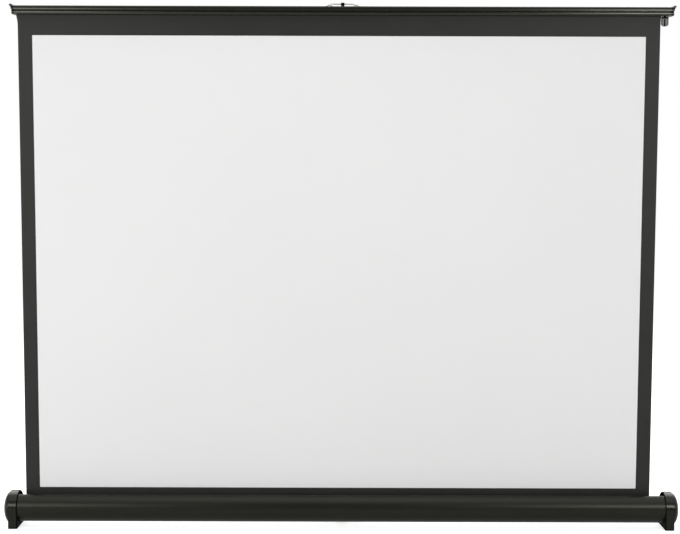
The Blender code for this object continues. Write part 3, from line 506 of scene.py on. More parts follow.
def white_screen():
    finish = Finish("matt_white_screen", Roughness=0.85, Specular_IOR_Level=0.2)
    place = on_sheet(finish)
    cloud = finish.noise(place, 3.0)
    grain = finish.noise(place, 1500.0, detail=3.0)
    share = cloud * 0.7 + grain * 0.3
    finish.set("Base Color", finish.tint(share, (0.770, 0.769, 0.768), (0.804, 0.803, 0.801)))
    finish.bump(grain + weave(finish, place, pitch=0.0006), strength=0.12, distance=0.00008)
    return finish


def black_border():
    finish = Finish("black_border_coating", Specular_IOR_Level=0.16)
    place = on_sheet(finish)
    cloud = finish.noise(place, 14.0)
    grain = finish.noise(place, 900.0, detail=3.0)
    share = cloud * 0.6 + grain * 0.4
    finish.set("Base Color", finish.tint(share, (0.019, 0.019, 0.0174), (0.029, 0.029, 0.0265)))
    finish.set("Roughness", cloud * 0.12 + 0.38)
    threads = weave(finish, place, pitch=0.0007)
    finish.bump(grain * 0.6 + threads, strength=0.25, distance=0.0001)
    return finish


def black_backing():
    finish = Finish("black_fabric_back", Roughness=0.8, Specular_IOR_Level=0.25)
    place = on_sheet(finish)
    cloud = finish.noise(place, 9.0)
    threads = weave(finish, place, pitch=0.0010)
    share = cloud * 0.5 + threads * 0.5
    finish.set("Base Color", finish.tint(share, (0.014, 0.014, 0.013), (0.030, 0.030, 0.028)))
    finish.bump(threads, strength=0.4, distance=0.00015)
    return finish


def wound_backing():
    finish = Finish("black_fabric_turns", Roughness=0.75, Specular_IOR_Level=0.25)
    grain = finish.noise(finish.place(), 700.0, detail=3.0)
    finish.set("Base Color", finish.tint(grain, (0.012, 0.012, 0.011), (0.028, 0.028, 0.026)))
    finish.bump(grain, strength=0.3, distance=0.0001)
    return finish


def black_anodised(name, stretch, gloss, darkest, smoothest):
    """Satin black aluminium with the faint lines that its die drew along it."""
    finish = Finish(name, Specular_IOR_Level=gloss, Specular_Tint=WARM_SHEEN)
    lines = finish.noise(finish.place(stretch), 1.0, detail=3.0, roughness=0.6)
    patches = finish.noise(finish.place(), 11.0)
    pits = finish.noise(finish.place(), 1900.0)
    share = lines * 0.5 + patches * 0.3 + pits * 0.2
    lightest = darkest + DYE_RANGE
    dark = (darkest, darkest, darkest * WARM_BLACK)
    light = (lightest, lightest, lightest * WARM_BLACK)
    finish.set("Base Color", finish.tint(share, dark, light))
    finish.set("Roughness", lines * 0.08 + patches * 0.012 + smoothest)
    finish.bump(lines * 0.6 + pits * 0.4, strength=0.05, distance=0.00004)
    return finish


def moulded_black():
    finish = Finish("moulded_black", Specular_IOR_Level=0.23, Specular_Tint=WARM_SHEEN)
    place = finish.place()
    flow = finish.noise(place, 45.0, detail=3.0)
    pebble = finish.noise(place, 1400.0)
    scuff = finish.noise(finish.place((260, 60, 260)), 1.0, detail=4.0).above(0.66, 0.06)
    finish.set("Base Color", finish.tint(flow, (0.002, 0.002, 0.0016), (0.006, 0.006, 0.0046)))
    finish.set("Roughness", flow * 0.08 + scuff * 0.10 + 0.15)
    finish.bump(pebble + flow * 0.5, strength=0.10, distance=0.00006)
    return finish


def grained_black_and_shade():
    """The spark-grained inner sides of the moulded feet; on the peg it is painted shade, for the
    bar's shadow on its top and for its slot walls.
    """
    finish = Finish("grained_black_and_shade", Specular_IOR_Level=0.03)
    grain = finish.noise(finish.place(), 900.0, detail=3.0)
    finish.set("Base Color", finish.tint(grain, (0.002, 0.002, 0.0018), (0.006, 0.006, 0.0055)))
    finish.set("Roughness", grain * 0.2 + 0.52)
    finish.bump(grain, strength=0.35, distance=0.00012)
    return finish


def satin_peg():
    finish = Finish("satin_grey_peg", Specular_IOR_Level=0.5)
    flow = finish.noise(finish.place(), 240.0, detail=3.0)
    finish.set("Base Color", finish.tint(flow, (0.138, 0.138, 0.135), (0.162, 0.162, 0.159)))
    finish.set("Roughness", flow * 0.10 + 0.35)
    return finish


def bright_wire():
    finish = Finish("bright_chromed_wire", Metallic=1.0)
    haze = finish.noise(finish.place(), 160.0, detail=3.0)
    rubs = finish.noise(finish.place((900, 120, 120)), 1.0, detail=3.0)
    finish.set("Base Color", finish.tint(haze, (0.86, 0.86, 0.87), (0.94, 0.94, 0.95)))
    finish.set("Roughness", haze * 0.06 + rubs * 0.06 + 0.24)
    return finish


def zinc_plate():
    finish = Finish("zinc_plated_steel", Metallic=1.0)
    place = finish.place()
    spangle = finish.noise(place, 420.0, detail=3.0)
    film = finish.noise(place, 60.0)
    finish.set("Base Color", finish.tint(film, (0.46, 0.46, 0.47), (0.62, 0.61, 0.58)))
    finish.set("Roughness", spangle * 0.22 + 0.24)
    finish.bump(spangle, strength=0.1, distance=0.00005)
    return finish


def spring_wire():
    finish = Finish("oiled_spring_steel", Metallic=1.0)
    film = finish.noise(finish.place(), 300.0, detail=3.0)
    finish.set("Base Color", finish.tint(film, (0.20, 0.20, 0.21), (0.32, 0.31, 0.30)))
    finish.set("Roughness", film * 0.2 + 0.3)
    return finish


def natural_nylon():
    finish = Finish("natural_nylon", Specular_IOR_Level=0.4)
    place = finish.place()
    flow = finish.noise(place, 90.0, detail=3.0)
    pebble = finish.noise(place, 1500.0)
    finish.set("Base Color", finish.tint(flow, (0.66, 0.65, 0.59), (0.74, 0.73, 0.68)))
    finish.set("Roughness", flow * 0.14 + 0.42)
    finish.bump(pebble, strength=0.1, distance=0.00006)
    return finish


def foot_rubber():
    finish = Finish("foot_rubber", Specular_IOR_Level=0.02)
    place = finish.place()
    dust = finish.noise(place, 120.0, detail=4.0).above(0.6, 0.12)
    grain = finish.noise(place, 1100.0, detail=3.0)
    finish.set("Base Color", finish.tint(dust, (0.003, 0.003, 0.0028), (0.008, 0.008, 0.0075)))
    finish.set("Roughness", grain * 0.15 + 0.60)
    finish.bump(grain, strength=0.35, distance=0.00012)
    return finish


sheet_low, sheet_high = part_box("screen_fabric")
SHEET_WIDTH = sheet_high.x - sheet_low.x
SHEET_HEIGHT = sheet_high.z - sheet_low.z
SHEET_Y = (sheet_low.y + sheet_high.y) / 2
BAR_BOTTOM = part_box("top_bar")[0].z

WHITE_SCREEN = white_screen()
BLACK_BORDER = black_border()
BLACK_BACKING = black_backing()
WOUND_BACKING = wound_backing()
CASE_METAL = black_anodised(
    "black_anodised_case", stretch=(2.0, 2400.0, 2400.0), gloss=0.23, darkest=0.002, smoothest=0.28
)
BAR_METAL = black_anodised(
    "black_anodised_bar", stretch=(2.0, 3200.0, 3200.0), gloss=0.45, darkest=0.004, smoothest=0.18
)
POLE_METAL = black_anodised(
    "black_anodised_pole", stretch=(2000.0, 2000.0, 2.0), gloss=0.18, darkest=0.006, smoothest=0.26
)
MOULDED_BLACK = moulded_black()
GRAINED_BLACK_AND_SHADE = grained_black_and_shade()
SATIN_PEG = satin_peg()
BRIGHT_WIRE = bright_wire()
ZINC_PLATE = zinc_plate()
SPRING_WIRE = spring_wire()
NATURAL_NYLON = natural_nylon()
FOOT_RUBBER = foot_rubber()


def fitted(piece, body, finish, node):
    """Gives a finished piece its finish and the body that carries it, and hides the solid it
    stands for.
    """
    piece.data.materials.clear()
    piece.data.materials.append(finish.material)
    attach(piece, body)
    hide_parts(node)


# Screen fabric
def screen_sheet():
    put_down()
    middle = Vector(((sheet_low.x + sheet_high.x) / 2, SHEET_Y, (sheet_low.z + sheet_high.z) / 2))
    bpy.ops.mesh.primitive_grid_add(
        x_subdivisions=72, y_subdivisions=56, size=1, location=middle, rotation=(math.pi / 2, 0, 0)
    )
    sheet = bpy.context.object
    sheet.name = "screen_sheet"
    sheet.scale = (SHEET_WIDTH, SHEET_HEIGHT, 1)
    bpy.ops.object.transform_apply(location=True, rotation=True, scale=True)

    # Edge lines of the white panel, and rows for the flare
    left = sheet_low.x + SIDE_BORDER
    right = sheet_high.x - SIDE_BORDER
    top = BAR_BOTTOM - TOP_BORDER
    bottom = top - VIEW_HEIGHT
    columns = [(left, 0, 0), (right, 0, 0)]
    rows = [(0, 0, top), (0, 0, bottom)]
    rows += [
        (0, 0, sheet_high.z - FLARE_HEIGHT * i / FLARE_ROWS) for i in range(1, FLARE_ROWS + 1)
    ]
    for normal, spots in (((1, 0, 0), columns), ((0, 0, 1), rows)):
        for spot in spots:
            edit(sheet)
            bpy.ops.mesh.bisect(plane_co=spot, plane_no=normal)
    put_down()
    for finish in (WHITE_SCREEN, BLACK_BORDER, BLACK_BACKING):
        sheet.data.materials.append(finish.material)
    for face in sheet.data.polygons:
        inside = left < face.center.x < right and bottom < face.center.z < top
        face.material_index = 0 if inside else 1

    # Taut between roller and bar, with faint pulls
    for vertex in sheet.data.vertices:
        across = (vertex.co.x - sheet_low.x) / SHEET_WIDTH
        up = (vertex.co.z - sheet_low.z) / SHEET_HEIGHT
        free = math.sin(math.pi * up) ** 2
        curl = abs(2 * across - 1) ** CURL_POWER
        pull = math.sin(PULL_WAVES * math.pi * across + PULL_PHASE)
        pull *= PULL_AT_FOOT + (1 - PULL_AT_FOOT) * up
        vertex.co.y += free * (CURL_DEPTH * curl + PULL_DEPTH * pull)
        flare = max(0.0, 1 - (sheet_high.z - vertex.co.z) / FLARE_HEIGHT) ** 2
        if across < EDGE_SHARE:
            vertex.co.x -= flare * LEFT_FLARE
        elif across > 1 - EDGE_SHARE:
            vertex.co.x += flare * RIGHT_FLARE
    layers = {"material_offset": 2, "material_offset_rim": 1}
    apply(sheet, "SOLIDIFY", thickness=FABRIC_THICKNESS, offset=0.0, **layers)
    shaded(sheet, angle=60)
    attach(sheet, "case")
    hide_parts("screen_fabric")
    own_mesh(sheet)


def wound_fabric():
    """The turns of fabric that stay on the roller when the screen is up."""
    low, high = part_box("fabric_wrap")
    centre = ((low.y + high.y) / 2, (low.z + high.z) / 2)
    outer = (high.z - low.z) / 2
    inner = outer - WRAP_THICKNESS + WOUND_THICKNESS / 2
    points = []
    for i in range(WOUND_STEPS + 1):
        radius = inner + (outer - WOUND_THICKNESS / 2 - inner) * i / WOUND_STEPS
        points.append(on_circle(centre, radius, 360 * WOUND_TURNS * i / WOUND_STEPS))
    wound = traced("wound_fabric", standing(low.x, points))
    bpy.ops.mesh.extrude_region_move(TRANSFORM_OT_translate={"value": (high.x - low.x, 0, 0)})
    clean()
    apply(wound, "SOLIDIFY", thickness=WOUND_THICKNESS, offset=0.0)
    shaded(wound, angle=50)
    fitted(wound, "roller", WOUND_BACKING, "fabric_wrap")


# Case
def lip(angle, turn):
    """The rolled edge of the mouth, from the outside of the wall round to its inside."""
    middle = on_circle(CASE_AXIS, LIP_ORBIT, angle)
    rolled = 360 - math.degrees(math.acos((LIP_RADIUS - TUBE_WALL) / LIP_RADIUS))
    return arc(middle, LIP_RADIUS, angle, angle + turn * rolled, 20)


def case_shell():
    low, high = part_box("case_tube")
    bore = TUBE_RADIUS - TUBE_WALL
    far = MOUTH_FRONT - 360
    margin = math.degrees(math.sqrt(LIP_RADIUS**2 - (LIP_RADIUS - TUBE_WALL) ** 2) / bore)
    outside = arc(CASE_AXIS, TUBE_RADIUS, MOUTH_REAR, far, 150)[1:-1]
    inside = arc(CASE_AXIS, bore, far + margin, MOUTH_REAR - margin, 110)[1:-1]
    outline = outside + lip(MOUTH_FRONT, -1) + inside + lip(MOUTH_REAR, 1)[::-1]
    shell = prism("case_shell", standing(low.x, outline), Vector((high.x - low.x, 0, 0)))
    shaded(shell)
    fitted(shell, "case", CASE_METAL, "case_tube")


def cap_outline():
    """A cap seen from its end: the ring, the toe, the heel and the cove that joins them."""
    front = AXIS_Y - RING_RADIUS
    rear = AXIS_Y + FOOT_REAR
    tail_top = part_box("end_cap_left")[0].z + TAIL_HEIGHT
    corner = FOOT_CORNER
    root = on_circle(CASE_AXIS, RING_RADIUS, TAIL_ANGLE)
    bend = (rear - TAIL_LENGTH, tail_top + TAIL_RISE)
    ring = arc(CASE_AXIS, RING_RADIUS, TAIL_ANGLE, 180, 96)
    toe = arc((front + corner, SOLE_GAP + corner), corner, 180, 270, 10)
    heel = arc((rear - corner, SOLE_GAP + corner), corner, 270, 360, 10)
    top = arc((rear - corner, tail_top - corner), corner, 0, 90, 10)
    cove = sweep(bend, (root[0] + corner, bend[1] + corner / 2), root, 16)
    return ring + toe + heel + top + cove[:-1]


def cap_faces(name, side):
    """Where a cap's inner and outer faces lie along the case."""
    low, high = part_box(f"end_cap_{name}")
    return (low.x, high.x) if side > 0 else (high.x, low.x)


def pad_pocket(name, side):
    """Two opposite corners of the hollow under a foot that holds its pad."""
    inner, outer = cap_faces(name, side)
    low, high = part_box(f"foot_pad_{name}")
    first = Vector((inner - side * POCKET_OVERSHOOT, low.y + SKIRT, -POCKET_OVERSHOOT))
    last = Vector((outer - side * SKIRT / 2, high.y - SKIRT, high.z + CLEARANCE))
    return first, last


def foot_cap(name, side):
    inner, outer = cap_faces(name, side)
    shoulder = inner + side * RING_SLOPE
    outline = standing(shoulder, cap_outline())
    cap = prism(f"foot_cap_{name}", outline, Vector((outer - shoulder, 0, 0)))
    pick(cap, lambda face: face.normal.x * side < -SQUARE_ON)
    bpy.ops.mesh.inset(thickness=RING_SLOPE - RING_RIDGE, depth=RING_SLOPE)
    put_down()
    middle = inner + side * SOCKET_DEPTH / 2 - side * SOCKET_OVERSHOOT / 2
    length = SOCKET_DEPTH + SOCKET_OVERSHOOT
    radius = TUBE_RADIUS + CLEARANCE
    carved(cap, drum("socket", (middle, AXIS_Y, AXIS_Z), (1, 0, 0), radius, length))
    carved(cap, block("pocket", *pad_pocket(name, side)))
    eased(cap, width=0.0004, sharper_than=50)
    fitted(cap, "case", MOULDED_BLACK, f"end_cap_{name}")
    cap.data.materials.append(GRAINED_BLACK_AND_SHADE.material)
    for face in cap.data.polygons:
        face.material_index = 1 if face.normal.x * side < -HALF_ON else 0


def end_dome(name, side):
    low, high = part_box(f"dome_cover_{name}")
    tip = high.x if side > 0 else low.x
    base = Vector((cap_faces(name, side)[1], AXIS_Y, AXIS_Z - DOME_DROP))
    rise = abs(tip - base.x)
    quarter = arc((0, 0), 1, 90, 0, 26)[1:]
    profile = [(0, rise)]
    profile += [(DOME_RIM * r, DOME_EDGE + (rise - DOME_EDGE) * h) for r, h in quarter]
    profile += arc((DOME_RIM - DOME_EDGE, DOME_EDGE), DOME_EDGE, 0, -90, 5)
    profile += [(0, 0)]
    dome = shaded(lathe(f"dome_{name}", profile, base, (side, 0, 0), steps=112))
    fitted(dome, "case", MOULDED_BLACK, f"dome_cover_{name}")


def foot_pad(name, side):
    first, last = pad_pocket(name, side)
    play = Vector((side * CLEARANCE, CLEARANCE, CLEARANCE))
    corner = first + play
    corner.x = cap_faces(name, side)[0] + side * RING_SLOPE / 2
    corner.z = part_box(f"foot_pad_{name}")[0].z
    pad = block(f"rubber_pad_{name}", corner, last - play)
    pick(pad, lambda face: face.normal.z < -HALF_ON)
    bpy.ops.mesh.inset(thickness=PAD_MARGIN, depth=0)
    bpy.ops.mesh.inset(thickness=PAD_SLOPE, depth=-PAD_HOLLOW)
    put_down()
    eased(pad, width=0.00045)
    fitted(pad, "case", FOOT_RUBBER, f"foot_pad_{name}")


# Top bar
def crowned(reach, apex, low, high, steps=14):
    """A gently rounded band that stands out furthest at the height of its apex."""
    inset = reach - CROWN_RADIUS
    heights = [low + (high - low) * i / steps for i in range(steps + 1)]
    return [(inset + math.sqrt(CROWN_RADIUS**2 - (h - apex) ** 2), h) for h in heights]


def bar_side():
    """One side of the bar, from its underside up over two rounded bands with a groove between."""
    lower = crowned(BODY_HALF, LOWER_CROWN, BAND_FOOT, BAND_TOP)
    upper = crowned(FLANGE_HALF, UPPER_CROWN, FLANGE_RISE, BAR_HEIGHT)
    return [(LOWER_HALF, BAR_LIFT)] + lower + [(lower[-1][0], FLANGE_RISE)] + upper


def both_bar_sides():
    """The bar's outline, from one lower edge over the top to the other."""
    side = bar_side()
    return side + [(-y, z) for y, z in reversed(side)]


def on_bar(x, flat):
    """Flat points, measured from the fabric and the bar's underside, as places at x."""
    return [Vector((x, SHEET_Y + y, BAR_BOTTOM + z)) for y, z in flat]


def bar_rail():
    low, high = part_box("top_bar")
    slot = CHANNEL_SLOT / 2
    gap = math.degrees(math.asin(slot / CHANNEL_RADIUS))
    channel = arc((0, CHANNEL_HEIGHT), CHANNEL_RADIUS, 270 - gap, -90 + gap, 30)
    outline = both_bar_sides() + [(-slot, BAR_LIFT)] + channel + [(slot, BAR_LIFT)]
    rail = prism("bar_rail", on_bar(low.x, outline), Vector((high.x - low.x, 0, 0)))
    eased(rail, width=0.0002, segments=2)
    fitted(rail, "bar", BAR_METAL, "top_bar")


def bar_end(name, side):
    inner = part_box("top_bar")[1].x + CLEARANCE
    outer = inner + END_WIDTH
    outline = on_bar(side * inner, both_bar_sides())
    plate = prism(f"bar_end_{name}", outline, Vector((side * (outer - inner), 0, 0)))
    root = BAR_BOTTOM + BAR_HEIGHT - LIP_ROOT
    tip = BAR_BOTTOM + BAR_HEIGHT + LIP_UP
    reach = FLANGE_HALF - LIP_SETBACK
    lip_flat = [
        (outer - LIP_THICKNESS, root),
        (outer - CLEARANCE, root),
        (outer + LIP_OUT, tip - LIP_THICKNESS / 2),
        (outer + LIP_OUT - LIP_THICKNESS / 2, tip),
        (outer + LIP_OUT - LIP_THICKNESS, tip),
        (inner + CLEARANCE, BAR_BOTTOM + BAR_HEIGHT - LIP_THICKNESS / 2),
    ]
    places = [Vector((side * x, SHEET_Y - reach, z)) for x, z in lip_flat]
    carved(plate, prism("flare", places, Vector((0, 2 * reach, 0))), "UNION")
    eased(plate, width=0.00025, segments=2)
    fitted(plate, "bar", MOULDED_BLACK, f"top_bar_end_{name}")


def peg():
    """A round peg split by a slot at its front and its back, with painted shade: a dark top where
    the bar's shadow falls, and dark slot walls.
    """
    low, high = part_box("closing_peg")
    radius = (high.x - low.x) / 2 + PEG_SWELL
    seat = Vector(((low.x + high.x) / 2 + PEG_SHIFT, (low.y + high.y) / 2, BAR_BOTTOM))
    length = BAR_BOTTOM - low.z
    stud = high.z - BAR_BOTTOM
    waist = radius - PEG_GROOVE_CUT
    grooved = zip((radius, waist, waist, radius), PEG_GROOVE)
    profile = [(0, stud), (STUD_RADIUS, stud), (STUD_RADIUS, -CLEARANCE)]
    profile += arc((radius - PEG_RIM, -CLEARANCE - PEG_RIM), PEG_RIM, 90, 0, 4)
    profile += [(out, -down) for out, down in grooved]
    profile += arc((radius - PEG_TIP, PEG_TIP - length), PEG_TIP, 0, -90, 12)
    profile += [(0, -length)]
    piece = lathe("bar_peg", profile, seat, (0, 0, 1), steps=64)
    ahead = Matrix.Rotation(PEG_TURN, 3, "Z") @ Vector((0, -1, 0))
    aside = Vector((-ahead.y, ahead.x, 0)) * PEG_SLOT / 2
    low_end = Vector((0, 0, -2 * length))
    for way in (1, -1):
        mouth = seat + way * ahead * radius * SLOT_REACH + Vector((0, 0, -PEG_NECK))
        bed = seat + way * ahead * PEG_WEB / 2 + Vector((0, 0, -PEG_NECK))
        corners = [mouth - aside, mouth + aside, bed + aside, bed - aside]
        carved(piece, prism("slot", corners, low_end))
    eased(piece, width=0.0002, segments=2, sharper_than=50)
    fitted(piece, "bar", SATIN_PEG, "closing_peg")
    # painted shade: the slot walls and a band at the top, where the bar's shadow falls, take the
    # near-black finish
    piece.data.materials.append(GRAINED_BLACK_AND_SHADE.material)
    for face in piece.data.polygons:
        spot = face.center - seat
        within = math.hypot(spot.x, spot.y) < radius - PEG_SKIN and spot.z < -PEG_NECK
        slot = within and abs(face.normal.z) < HARDLY
        face.material_index = 1 if slot or spot.z > -PEG_PAINTED_SHADOW else 0


def lug_and_screw(name):
    lug = refined(f"bail_lug_{name}", f"bail_ear_{name}")
    eased(lug, width=0.00022, segments=2)
    fitted(lug, "bar", ZINC_PLATE, f"bail_lug_{name}")
    screw = refined(f"lug_screw_{name}", f"ear_screw_{name}")
    cross_cut(screw, *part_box(f"lug_screw_{name}"))
    eased(screw, width=0.00012, segments=2)
    fitted(screw, "bar", ZINC_PLATE, f"lug_screw_{name}")


def cross_cut(screw, low, high):
    """Cuts a cross recess into the top of a screw head."""
    middle = (low + high) / 2
    spot = Vector((middle.x, middle.y, high.z))
    depth = Vector((0, 0, CROSS_DEPTH))
    for length, width in ((CROSS_LENGTH, CROSS_WIDTH), (CROSS_WIDTH, CROSS_LENGTH)):
        half = Vector((length, width, 0)) / 2
        carved(screw, block("driver", spot - half - depth, spot + half + depth))


# Bail
def bail_wire():
    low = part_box("bail")[0]
    pivot = Vector((0, low.y + BAIL_WIRE, low.z + BAIL_WIRE))
    leg_length = math.hypot(BAIL_RISE, BAIL_REACH)
    foot = (-BAIL_HALF, 0)
    head = (-BAIL_HALF, leg_length)
    half = [Vector((-BAIL_PIN_END, 0))]
    half += corner_points((0, 0), foot, head, BAIL_PIN_CORNER)
    half += corner_points(foot, head, (0, leg_length), BAIL_CORNER)
    flat = half + [Vector((-point.x, point.y)) for point in reversed(half)]
    leg = Vector((0, BAIL_REACH, BAIL_RISE)).normalized()
    places = [pivot + Vector((point.x, 0, 0)) + leg * point.y for point in flat]
    wire = bent_wire("bail_wire", places, BAIL_WIRE)
    eased(wire, width=0.0003, segments=2, sharper_than=60)
    fitted(wire, "bail", BRIGHT_WIRE, "bail")


# Pole
def pole_stage(node, name, body):
    low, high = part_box(node)
    radius = (high.x - low.x) / 2
    bore = radius - STAGE_WALL
    length = high.z - low.z
    profile = [
        (radius - STAGE_EASE, length),
        (radius, length - STAGE_EASE),
        (radius, STAGE_EASE),
        (radius - STAGE_EASE, 0),
        (bore, 0),
        (bore, length),
        (radius - STAGE_EASE, length),
    ]
    tube = shaded(lathe(name, profile, underside(low, high), (0, 0, 1), steps=56))
    fitted(tube, body, POLE_METAL, node)


def ribbed_collar(node, name, body, inner_tube):
    """A twist collar with finger ribs pressed round its skirt."""
    low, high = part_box(node)
    radius = (high.x - low.x) / 2
    length = high.z - low.z
    bore = radius - COLLAR_WALL
    neck = inner_tube + CLEARANCE
    profile = [
        (neck, length),
        (radius - COLLAR_CHAMFER, length),
        (radius, length - COLLAR_CHAMFER),
        (radius, length - RIB_TOP),
        (radius, RIB_FOOT),
        (radius, COLLAR_CHAMFER),
        (radius - COLLAR_CHAMFER, 0),
        (bore, 0),
        (bore, COLLAR_SKIRT + CLEARANCE),
        (neck, COLLAR_SKIRT + CLEARANCE),
        (neck, length),
    ]
    centre = underside(low, high)
    collar = lathe(name, profile, centre, (0, 0, 1), COLLAR_SIDES)
    take_up(collar)
    for face in collar.data.polygons:
        spot = face.center - centre
        outside = math.hypot(spot.x, spot.y) > radius - GRIP_SKIN
        on_grip = outside and RIB_FOOT < spot.z < length - RIB_TOP
        angle = math.degrees(math.atan2(spot.y, spot.x)) % 360
        facet = round(angle / (360 / COLLAR_SIDES) - 0.5)
        face.select = on_grip and facet % RIB_EVERY == 0
    bpy.ops.object.mode_set(mode="EDIT")
    bpy.ops.mesh.select_mode(type="FACE")
    bpy.ops.mesh.inset(thickness=RIB_INSET, depth=-RIB_DEPTH, use_individual=True)
    put_down()
    shaded(collar, angle=28)
    fitted(collar, body, MOULDED_BLACK, node)


def bail_hook():
    """The pole's hook, with a horn in front of the bail and its back trimmed above the bail."""
    hook = refined("pole_hook", "bail_hook")
    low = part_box("bail")[0]
    hang_y = low.y + BAIL_WIRE + BAIL_REACH
    hang_z = low.z + BAIL_WIRE + BAIL_RISE
    horn = standing(-HOOK_HALF, [(hang_y + y, hang_z + z) for y, z in HORN])
    carved(hook, prism("horn", horn, Vector((2 * HOOK_HALF, 0, 0))), "UNION")
    corner = Vector((TRIM_SIZE / 2, hang_y + TRIM_BACK, hang_z + TRIM_RISE))
    carved(hook, block("trim", corner, corner + Vector((-TRIM_SIZE, TRIM_SIZE, TRIM_SIZE))))
    eased(hook, width=0.0003, segments=2)
    fitted(hook, "upper_stage", MOULDED_BLACK, "pole_hook")


def fold_bolt():
    bolt = refined("pivot_bolt", "fold_bolt")
    low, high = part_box("pivot_bolt")
    head = Vector(((low.x + high.x) / 2, high.y, (low.z + high.z) / 2))
    carved(bolt, drum("key", head, (0, 1, 0), KEY_RADIUS, KEY_LENGTH, sides=6))
    eased(bolt, width=0.0003, segments=2)
    fitted(bolt, "case", ZINC_PLATE, "pivot_bolt")


def pole_fittings():
    bracket = refined("pole_bracket", "pole_saddle")
    eased(bracket, width=0.0006)
    fitted(bracket, "case", MOULDED_BLACK, "pole_bracket")
    knuckle = refined("pole_knuckle", "fold_knuckle")
    eased(knuckle, width=0.0006)
    fitted(knuckle, "lower_stage", MOULDED_BLACK, "pole_knuckle")
    bail_hook()
    washer = refined("pivot_washer", "fold_washer")
    eased(washer, width=0.0002, segments=2)
    fitted(washer, "case", ZINC_PLATE, "pivot_washer")
    fold_bolt()


screen_sheet()
wound_fabric()
case_shell()
for end_name, end_side in (("left", -1), ("right", 1)):
    foot_cap(end_name, end_side)
    end_dome(end_name, end_side)
    foot_pad(end_name, end_side)
    bar_end(end_name, end_side)
    lug_and_screw(end_name)
bar_rail()
peg()
bail_wire()
for stage in ("lower", "middle", "upper"):
    pole_stage(f"pole_{stage}_tube", f"{stage}_pole", f"{stage}_stage")
for stage, inner_radius in (("lower", MIDDLE_RADIUS), ("upper", UPPER_RADIUS)):
    ribbed_collar(f"{stage}_twist_collar", f"{stage}_grip", f"{stage}_collar", inner_radius)
pole_fittings()

# Solids that keep their shape and only get a finish
STEEL_NODES = ["roller_tube", "spring_arbor", "bracket_screw_left", "bracket_screw_right"]
for end_name in ("left", "right"):
    STEEL_NODES += [f"cap_screw_{end_name}_{spot}" for spot in ("bottom", "rear")]
NYLON_NODES = ["roller_plug_left", "roller_plug_right", "spring_drive_plug", "roller_bearing"]
NYLON_NODES += ["fabric_rod", "middle_tube_guide", "upper_tube_guide"]
for kept_nodes, kept_finish in (
    (STEEL_NODES, ZINC_PLATE),
    (NYLON_NODES, NATURAL_NYLON),
    (["torsion_spring"], SPRING_WIRE),
):
    for kept in kept_nodes:
        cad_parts[kept].data.materials.clear()
        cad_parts[kept].data.materials.append(kept_finish.material)


# Studio: a floor with a little light of its own, more of it far away, and a room's walls
FLOOR_SIZE = 40
FLOOR_GLOW = 0.74
FAR_GLOW = 0.04
FAR_FROM = 2.0
FAR_FADE = 1.2
MIRROR_GLOW = 0.25
ROOM_LIGHT = 0.26
DARK_END = -0.75
DARK_FADE = 0.15
DARKEST = 0.12

# Name, place, target, width, height and power in watts
SOFTBOXES = [
    ("left_softbox", (-1.25, -2.05, 0.83), (-0.2, 0, 0.5), 0.9, 0.75, 14),
    ("left_fill", (-2.1, -1.5, 0.55), (-0.4, 0, 0.2), 1.0, 1.0, 8),
    ("right_softbox", (1.15, -2.05, 0.95), (0.2, 0, 0.6), 0.7, 0.55, 14.5),
    ("top_softbox", (0.0, -0.65, 2.2), (0, -0.4, 0.0), 2.6, 1.9, 15),
    ("rear_left_softbox", (-1.2, 1.35, 1.85), (-0.6, 0, 0.06), 0.8, 2.0, 20),
    ("rear_right_softbox", (1.2, 1.35, 1.85), (0.6, 0, 0.06), 0.8, 2.0, 20),
]

# The camera that was fitted to the photo: metres, radians and millimetres of lens
CAMERA_PLACE = (-0.004, -2.2366, 0.6410)
CAMERA_PITCH = 0.0888
CAMERA_YAW = 0.0003
CAMERA_ROLL = -0.0029
CAMERA_SENSOR = 36
CAMERA_LENS = 70.1


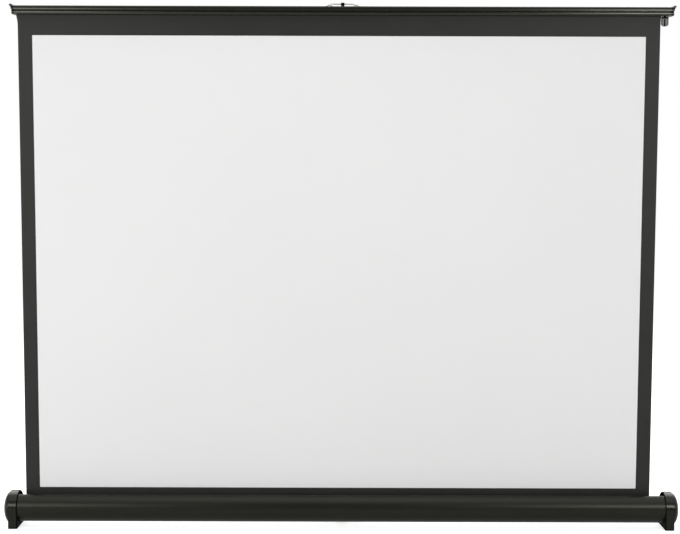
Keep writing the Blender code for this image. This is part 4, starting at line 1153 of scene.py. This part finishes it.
def studio_floor():
    """A pale floor that is seen as white and still takes the object's shadow."""
    put_down()
    bpy.ops.mesh.primitive_plane_add(size=FLOOR_SIZE)
    floor = bpy.context.object
    floor.name = "floor"
    white = Finish(
        "white_floor",
        Base_Color=(0.80, 0.80, 0.80, 1.0),
        Roughness=0.9,
        Specular_IOR_Level=0.1,
        Emission_Strength=1.0,
    )
    measure = {"operation": "LENGTH"}
    away = white.node("ShaderNodeVectorMath", measure, {0: white.place()}, output="Value")
    glow = away.above(FAR_FROM, FAR_FADE) * FAR_GLOW + FLOOR_GLOW
    lift = glow * white.direct() + MIRROR_GLOW * white.mirrored()
    white.set("Emission Color", white.tint(lift, (0, 0, 0), (1, 1, 1)))
    floor.data.materials.append(white.material)


def studio_world():
    """A white room for the camera and in mirrors, dark only round where the camera stands."""
    world = bpy.data.worlds.new("studio")
    bpy.context.scene.world = world
    world.use_nodes = True
    air = Shading(world.node_tree)
    ground = world.node_tree.nodes["Background"]
    place = air.place(source="Generated")
    across = air.node("ShaderNodeSeparateXYZ", inputs={0: place}, output="Y")
    walls = across.above(DARK_END, DARK_FADE) * (1 - DARKEST) + DARKEST
    direct = air.direct()
    mirrored = air.mirrored()
    share = direct + mirrored * walls + (1 - direct - mirrored) * ROOM_LIGHT
    air.feed(ground.inputs["Color"], air.tint(share, (0, 0, 0), (1, 1, 1)))
    ground.inputs["Strength"].default_value = 1.0


def softbox(name, place, target, width, height, power):
    put_down()
    bpy.ops.object.light_add(type="AREA", location=place)
    lamp = bpy.context.object
    lamp.name = name
    lamp.rotation_euler = (Vector(target) - Vector(place)).to_track_quat("-Z", "Y").to_euler()
    lamp.data.shape = "RECTANGLE"
    lamp.data.size = width
    lamp.data.size_y = height
    lamp.data.energy = power


def photo_camera():
    level = math.cos(CAMERA_PITCH)
    ahead = Vector(
        (math.sin(CAMERA_YAW) * level, math.cos(CAMERA_YAW) * level, -math.sin(CAMERA_PITCH))
    )
    right = Vector((math.cos(CAMERA_YAW), -math.sin(CAMERA_YAW), 0))
    down = ahead.cross(right)
    side = math.cos(CAMERA_ROLL) * right + math.sin(CAMERA_ROLL) * down
    below = math.cos(CAMERA_ROLL) * down - math.sin(CAMERA_ROLL) * right
    put_down()
    bpy.ops.object.camera_add()
    camera = bpy.context.object
    camera.data.sensor_width = CAMERA_SENSOR
    camera.data.lens = CAMERA_LENS
    turn = Matrix((side, -below, -ahead)).transposed()
    camera.matrix_world = Matrix.Translation(CAMERA_PLACE) @ turn.to_4x4()
    bpy.context.scene.camera = camera


studio_floor()
studio_world()
for lamp_settings in SOFTBOXES:
    softbox(*lamp_settings)
photo_camera()
bpy.context.scene.view_settings.view_transform = "Standard"
